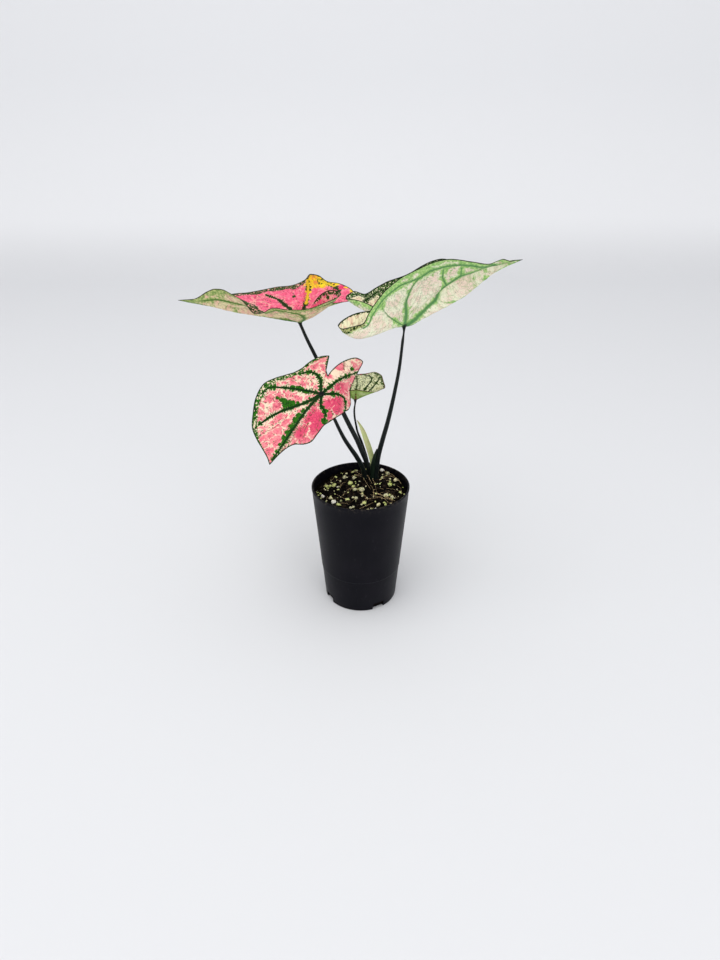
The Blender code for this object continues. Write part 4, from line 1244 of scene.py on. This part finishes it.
def fine_soil_height(x, y):
    """The same height with crumbs of two sizes."""
    crumbs = 1 - 2 * abs(noise.noise(Vector((x / 2.6, y / 2.6, 21.0))))
    grit = noise.noise(Vector((x / 1.1, y / 1.1, 33.0)))
    return soil_height(x, y) + 0.9 * crumbs + 0.45 * grit - 0.4


def soil_look():
    m = Material("soil_mix", 0.9, 0.05)
    place = m.place()
    coarse = m.noise(place, 3.0, 4.0)
    fine = m.noise(place, 0.7, 3.0)
    colour = m.mix(m.step(coarse, 0.38, 0.62), linear(4, 3, 3), linear(16, 12, 9))
    colour = m.mix(m.math("MULTIPLY", m.step(fine, 0.62, 0.74), 0.5), colour, linear(54, 40, 28))
    return m.finish(colour, m.math("ADD", coarse, m.math("MULTIPLY", fine, 0.5)), 0.0008)


def make_soil():
    rings, spokes = 80, 240
    bm = bmesh.new()
    edge = inner_radius(SOIL_EDGE_HEIGHT) - 0.1
    middle = bm.verts.new(Vector((0, 0, fine_soil_height(0, 0))) * MM)
    turns = [2 * math.pi * spoke / spokes for spoke in range(spokes)]
    loops = []
    for ring in range(1, rings + 1):
        radius = edge * ring / rings
        loop = []
        for turn in turns:
            x, y = radius * math.cos(turn), radius * math.sin(turn)
            loop.append(bm.verts.new(Vector((x, y, fine_soil_height(x, y))) * MM))
        loops.append(loop)
    for z in (90.0, 50.0, 12.0, 3.0 + GAP, FLOOR + GAP):
        radius = inner_radius(z) - (GAP if z > 2 else 1.4 + GAP)
        loop = []
        for turn in turns:
            way = Vector((math.cos(turn), math.sin(turn), 0))
            bump = 0.2 * noise.noise(Vector((turn * 20, z / 3, 2.0))) if 2 < z < 50 else 0.0
            loop.append(bm.verts.new(((radius - abs(bump)) * way + Vector((0, 0, z))) * MM))
        loops.append(loop)
    for spoke in range(spokes):
        after = (spoke + 1) % spokes
        bm.faces.new((middle, loops[0][spoke], loops[0][after]))
        for inner, outer in zip(loops, loops[1:]):
            bm.faces.new((inner[spoke], outer[spoke], outer[after], inner[after]))
    bm.faces.new(loops[-1][::-1])
    bmesh.ops.recalc_face_normals(bm, faces=bm.faces)
    mesh = bpy.data.meshes.new("mix")
    bm.to_mesh(mesh)
    bm.free()
    mesh.shade_smooth()
    mesh.materials.append(soil_look())
    finish_piece(add_object("mix", mesh), ["soil"])


def lump(bm, place, size, flat, draw, detail=2):
    """One irregular grain: a ball pushed in and out, squashed and turned at random."""
    made = bmesh.ops.create_icosphere(bm, subdivisions=detail, radius=0.5)["verts"]
    seed = draw.uniform(0, 100)
    stretch = Vector((draw.uniform(0.8, 1.25), draw.uniform(0.75, 1.1), flat * draw.uniform(0.8, 1.1)))
    spin = Matrix.Rotation(draw.uniform(0, math.tau), 3, "Z")
    tilt = Matrix.Rotation(draw.uniform(-0.5, 0.5), 3, "X")
    for vert in made:
        way = vert.co.normalized()
        swell = 1 + 0.45 * noise.noise(way * 1.4 + Vector((seed, 0, 0))) + 0.15 * noise.noise(way * 4 + Vector((0, seed, 0)))
        shape = Vector(way * 0.5 * swell * size)
        shape = Vector((shape.x * stretch.x, shape.y * stretch.y, shape.z * stretch.z))
        vert.co = (Vector(place) + spin @ (tilt @ shape)) * MM
    return made


def grains_mesh(name, places, flat, seed, look, detail=2):
    draw = np.random.default_rng(seed)
    bm = bmesh.new()
    for x, y, size in places:
        pull = min(1, (inner_radius(SOIL_EDGE_HEIGHT) - 0.75 * size) / math.hypot(x, y))
        x, y = x * pull, y * pull
        z = soil_height(x, y) + 0.3 * size * flat
        lump(bm, (x, y, z), size, flat, draw, detail)
    mesh = bpy.data.meshes.new(name)
    bm.to_mesh(mesh)
    bm.free()
    mesh.shade_smooth()
    mesh.materials.append(look)
    finish_piece(add_object(name, mesh))


def grain_look(name, light, dark, patch):
    m = Material(name, 0.85, 0.1)
    place = m.place()
    pits = m.noise(place, 0.9, 3.0)
    blotch = m.noise(place, 3.0, 2.0)
    colour = m.mix(m.step(pits, 0.32, 0.54), linear(*dark), linear(*light))
    colour = m.mix(m.step(blotch, 0.54, 0.66), colour, linear(*patch))
    return m.finish(colour, pits, 0.0005)


def scattered(count, low, high, seed, least=0.0):
    """Random places on the mix, evenly spread, with random sizes, clear of the stalks."""
    draw = np.random.default_rng(seed)
    found = []
    while len(found) < count:
        radius = 44.5 * math.sqrt(draw.uniform(least, 1))
        turn = draw.uniform(0, math.tau)
        x, y = radius * math.cos(turn), radius * math.sin(turn)
        if math.hypot(x - CROWN[0], y - CROWN[1]) > 8:
            found.append((x, y, draw.uniform(low, high)))
    return found


def make_grains():
    looks = {
        "white": grain_look("white_grain", (252, 250, 242), (190, 184, 164), (240, 234, 214)),
        "cream": grain_look("cream_grain", (250, 244, 196), (128, 112, 66), (220, 206, 146)),
        "green": grain_look("green_grain", (232, 238, 160), (60, 70, 22), (170, 184, 92)),
        "pale": grain_look("pale_grain", (232, 228, 186), (50, 50, 30), (156, 158, 108)),
    }
    extra = {
        "white": scattered(6, 1.4, 2.6, 41), "cream": scattered(30, 1.1, 2.6, 42),
        "green": scattered(64, 1.2, 3.0, 43), "pale": scattered(56, 1.1, 2.8, 44),
    }
    for number, (kind, look) in enumerate(looks.items()):
        chosen = [(x, y, 1.1 * size) for x, y, size, kept in GRAINS if kept == kind]
        grains_mesh(kind + "_grains", chosen + extra[kind], 0.8, 60 + number, look)
    bark = grain_look("bark_chips", (28, 20, 14), (7, 5, 4), (50, 36, 24))
    grains_mesh("bark_chips", scattered(190, 1.8, 5.0, 51), 0.45, 70, bark)
    crumbs = grain_look("crumbs", (15, 11, 8), (4, 3, 3), (24, 18, 12))
    grains_mesh("crumbs", scattered(420, 0.9, 2.2, 52), 0.7, 71, crumbs, 1)


def make_fibres():
    """Thin strands of coir and bark that lie across the mix."""
    draw = np.random.default_rng(9)
    laid = [
        ((8, 35), (15, 7)), ((15, -3), (31, -19)), ((27, 38), (41, 17)), ((22, 41), (38, 25)),
        ((12, -1), (29, -15)), ((17, -6), (34, -17)), ((14, -8), (27, -22)), ((20, -2), (36, -12)),
        ((10, -5), (24, -12)), ((5, 30), (12, 10)), ((2, 20), (10, 2)), ((-8, 30), (4, 22)),
    ]
    for x, y, _ in scattered(40, 1, 2, 53):
        turn, length = draw.uniform(0, math.tau), draw.uniform(6, 20)
        ends = (x + length * math.cos(turn), y + length * math.sin(turn))
        if math.hypot(*ends) < 43:
            laid.append(((x, y), ends))
    bm = bmesh.new()
    for number, (start, end) in enumerate(laid):
        thick = 0.24 if number < 2 else draw.uniform(0.08, 0.17)
        low, high = soil_height(*start) + 0.9, soil_height(*end) + 0.9
        bend, rise = draw.uniform(-0.14, 0.14), draw.uniform(0.6, 2.4)
        path = []
        for t in np.linspace(0, 1, 12):
            bow = bend * math.sin(math.pi * t)
            x = start[0] + t * (end[0] - start[0]) - bow * (end[1] - start[1])
            y = start[1] + t * (end[1] - start[1]) + bow * (end[0] - start[0])
            z = low + t * (high - low) + rise * math.sin(math.pi * t)
            path.append((x, y, z, thick * (1 - 0.5 * t)))
        sections = tube_sections(np.array(path), 6, 0.0, number)
        strand = loft("strand", sections)
        bm.from_mesh(strand)
        bpy.data.meshes.remove(strand)
    mesh = bpy.data.meshes.new("fibres")
    bm.to_mesh(mesh)
    bm.free()
    mesh.shade_smooth()
    mesh.materials.append(grain_look("fibre", (226, 200, 156), (150, 118, 78), (196, 164, 116)))
    finish_piece(add_object("fibres", mesh))


def tuber_look():
    m = Material("tuber_skin", 0.85, 0.2)
    place = m.place()
    rings = m.noise(place, 2.0, 3.0, (1.0, 1.0, 3.0))
    colour = m.mix(m.step(rings, 0.4, 0.6), linear(92, 66, 44), linear(134, 100, 68))
    return m.finish(colour, rings, 0.0008)


def dress_tuber():
    tuber = frame["nodes"]["tuber"]
    tuber.data.materials.clear()
    tuber.data.materials.append(tuber_look())


# The surroundings

def paper_look():
    """Matt paper, painted a little darker where it lies flat under the lights than where it stands: painted shade that
    evens out the stronger light on the floor.
    """
    m = Material("backdrop_paper", 0.85, 0.5)
    height = m.node("ShaderNodeSeparateXYZ", {0: m.place()}).outputs[2]
    # Painted shade: the floor's colour is darker than the wall's, to offset the lights that fall on it.
    return m.finish(m.mix(m.step(height, 0, 150), linear(222, 223, 226), linear(236, 237, 240)))


def make_backdrop():
    """A pale floor that curves up into a wall behind the plant."""
    floor_front, floor_back, bend, wall_top, half = -3.0, 1.6, 0.6, 4.0, 4.0
    profile = [(floor_front, 0.0), (floor_back, 0.0)]
    for t in np.linspace(0, math.pi / 2, 16):
        profile.append((floor_back + bend * math.sin(t), bend * (1 - math.cos(t))))
    profile.append((floor_back + bend, wall_top))
    bm = bmesh.new()
    rows = [[bm.verts.new((x, y, z)) for x in (-half, half)] for y, z in profile]
    for here, there in zip(rows, rows[1:]):
        bm.faces.new((here[0], here[1], there[1], there[0]))
    mesh = bpy.data.meshes.new("backdrop")
    bm.to_mesh(mesh)
    bm.free()
    mesh.shade_smooth()
    mesh.materials.append(paper_look())
    add_object("backdrop", mesh)


def add_light(name, place, target, size, power, colour=(1, 1, 1)):
    light = bpy.data.lights.new(name, "AREA")
    light.shape = "DISK"
    light.size = size
    light.energy = power
    light.color = colour
    obj = add_object(name, light)
    obj.location = place
    way = Vector(target) - Vector(place)
    obj.rotation_euler = way.to_track_quat("-Z", "Y").to_euler()


def add_lights():
    middle = (0, 0, 0.2)
    add_light("softbox_above", (-0.5, -0.5, 1.9), middle, 1.6, 11)
    add_light("softbox_front", (0.9, -1.7, 1.2), middle, 1.2, 5)
    world = bpy.data.worlds.new("studio")
    world.use_nodes = True
    background = world.node_tree.nodes["Background"]
    background.inputs["Color"].default_value = (1.0, 1.0, 1.0, 1.0)
    background.inputs["Strength"].default_value = 0.92
    bpy.context.scene.world = world


def add_camera():
    pitch, yaw, roll = (math.radians(angle) for angle in (CAMERA_PITCH, CAMERA_YAW, CAMERA_ROLL))
    level = math.cos(pitch)
    forward = Vector((math.sin(yaw) * level, math.cos(yaw) * level, -math.sin(pitch)))
    right = Vector((math.cos(yaw), -math.sin(yaw), 0.0))
    up = right.cross(forward)
    turned_right = math.cos(roll) * right + math.sin(roll) * up
    turned_up = -math.sin(roll) * right + math.cos(roll) * up
    data = bpy.data.cameras.new("camera")
    data.sensor_width = SENSOR_MM
    data.lens = SENSOR_MM * FOCAL_PIXELS / PICTURE_HEIGHT
    data.clip_start = 0.01
    camera = add_object("camera", data)
    axes = Matrix((turned_right, turned_up, -forward)).transposed()
    camera.matrix_world = Matrix.Translation(CAMERA_PLACE) @ axes.to_4x4()
    bpy.context.scene.camera = camera


def main():
    add_camera()
    for leaf in LEAVES:
        make_blade(leaf)
    make_stalks()
    make_sheath()
    make_pot()
    make_soil()
    make_grains()
    make_fibres()
    dress_tuber()
    make_backdrop()
    add_lights()
    bpy.context.scene.view_settings.view_transform = "Standard"


main()
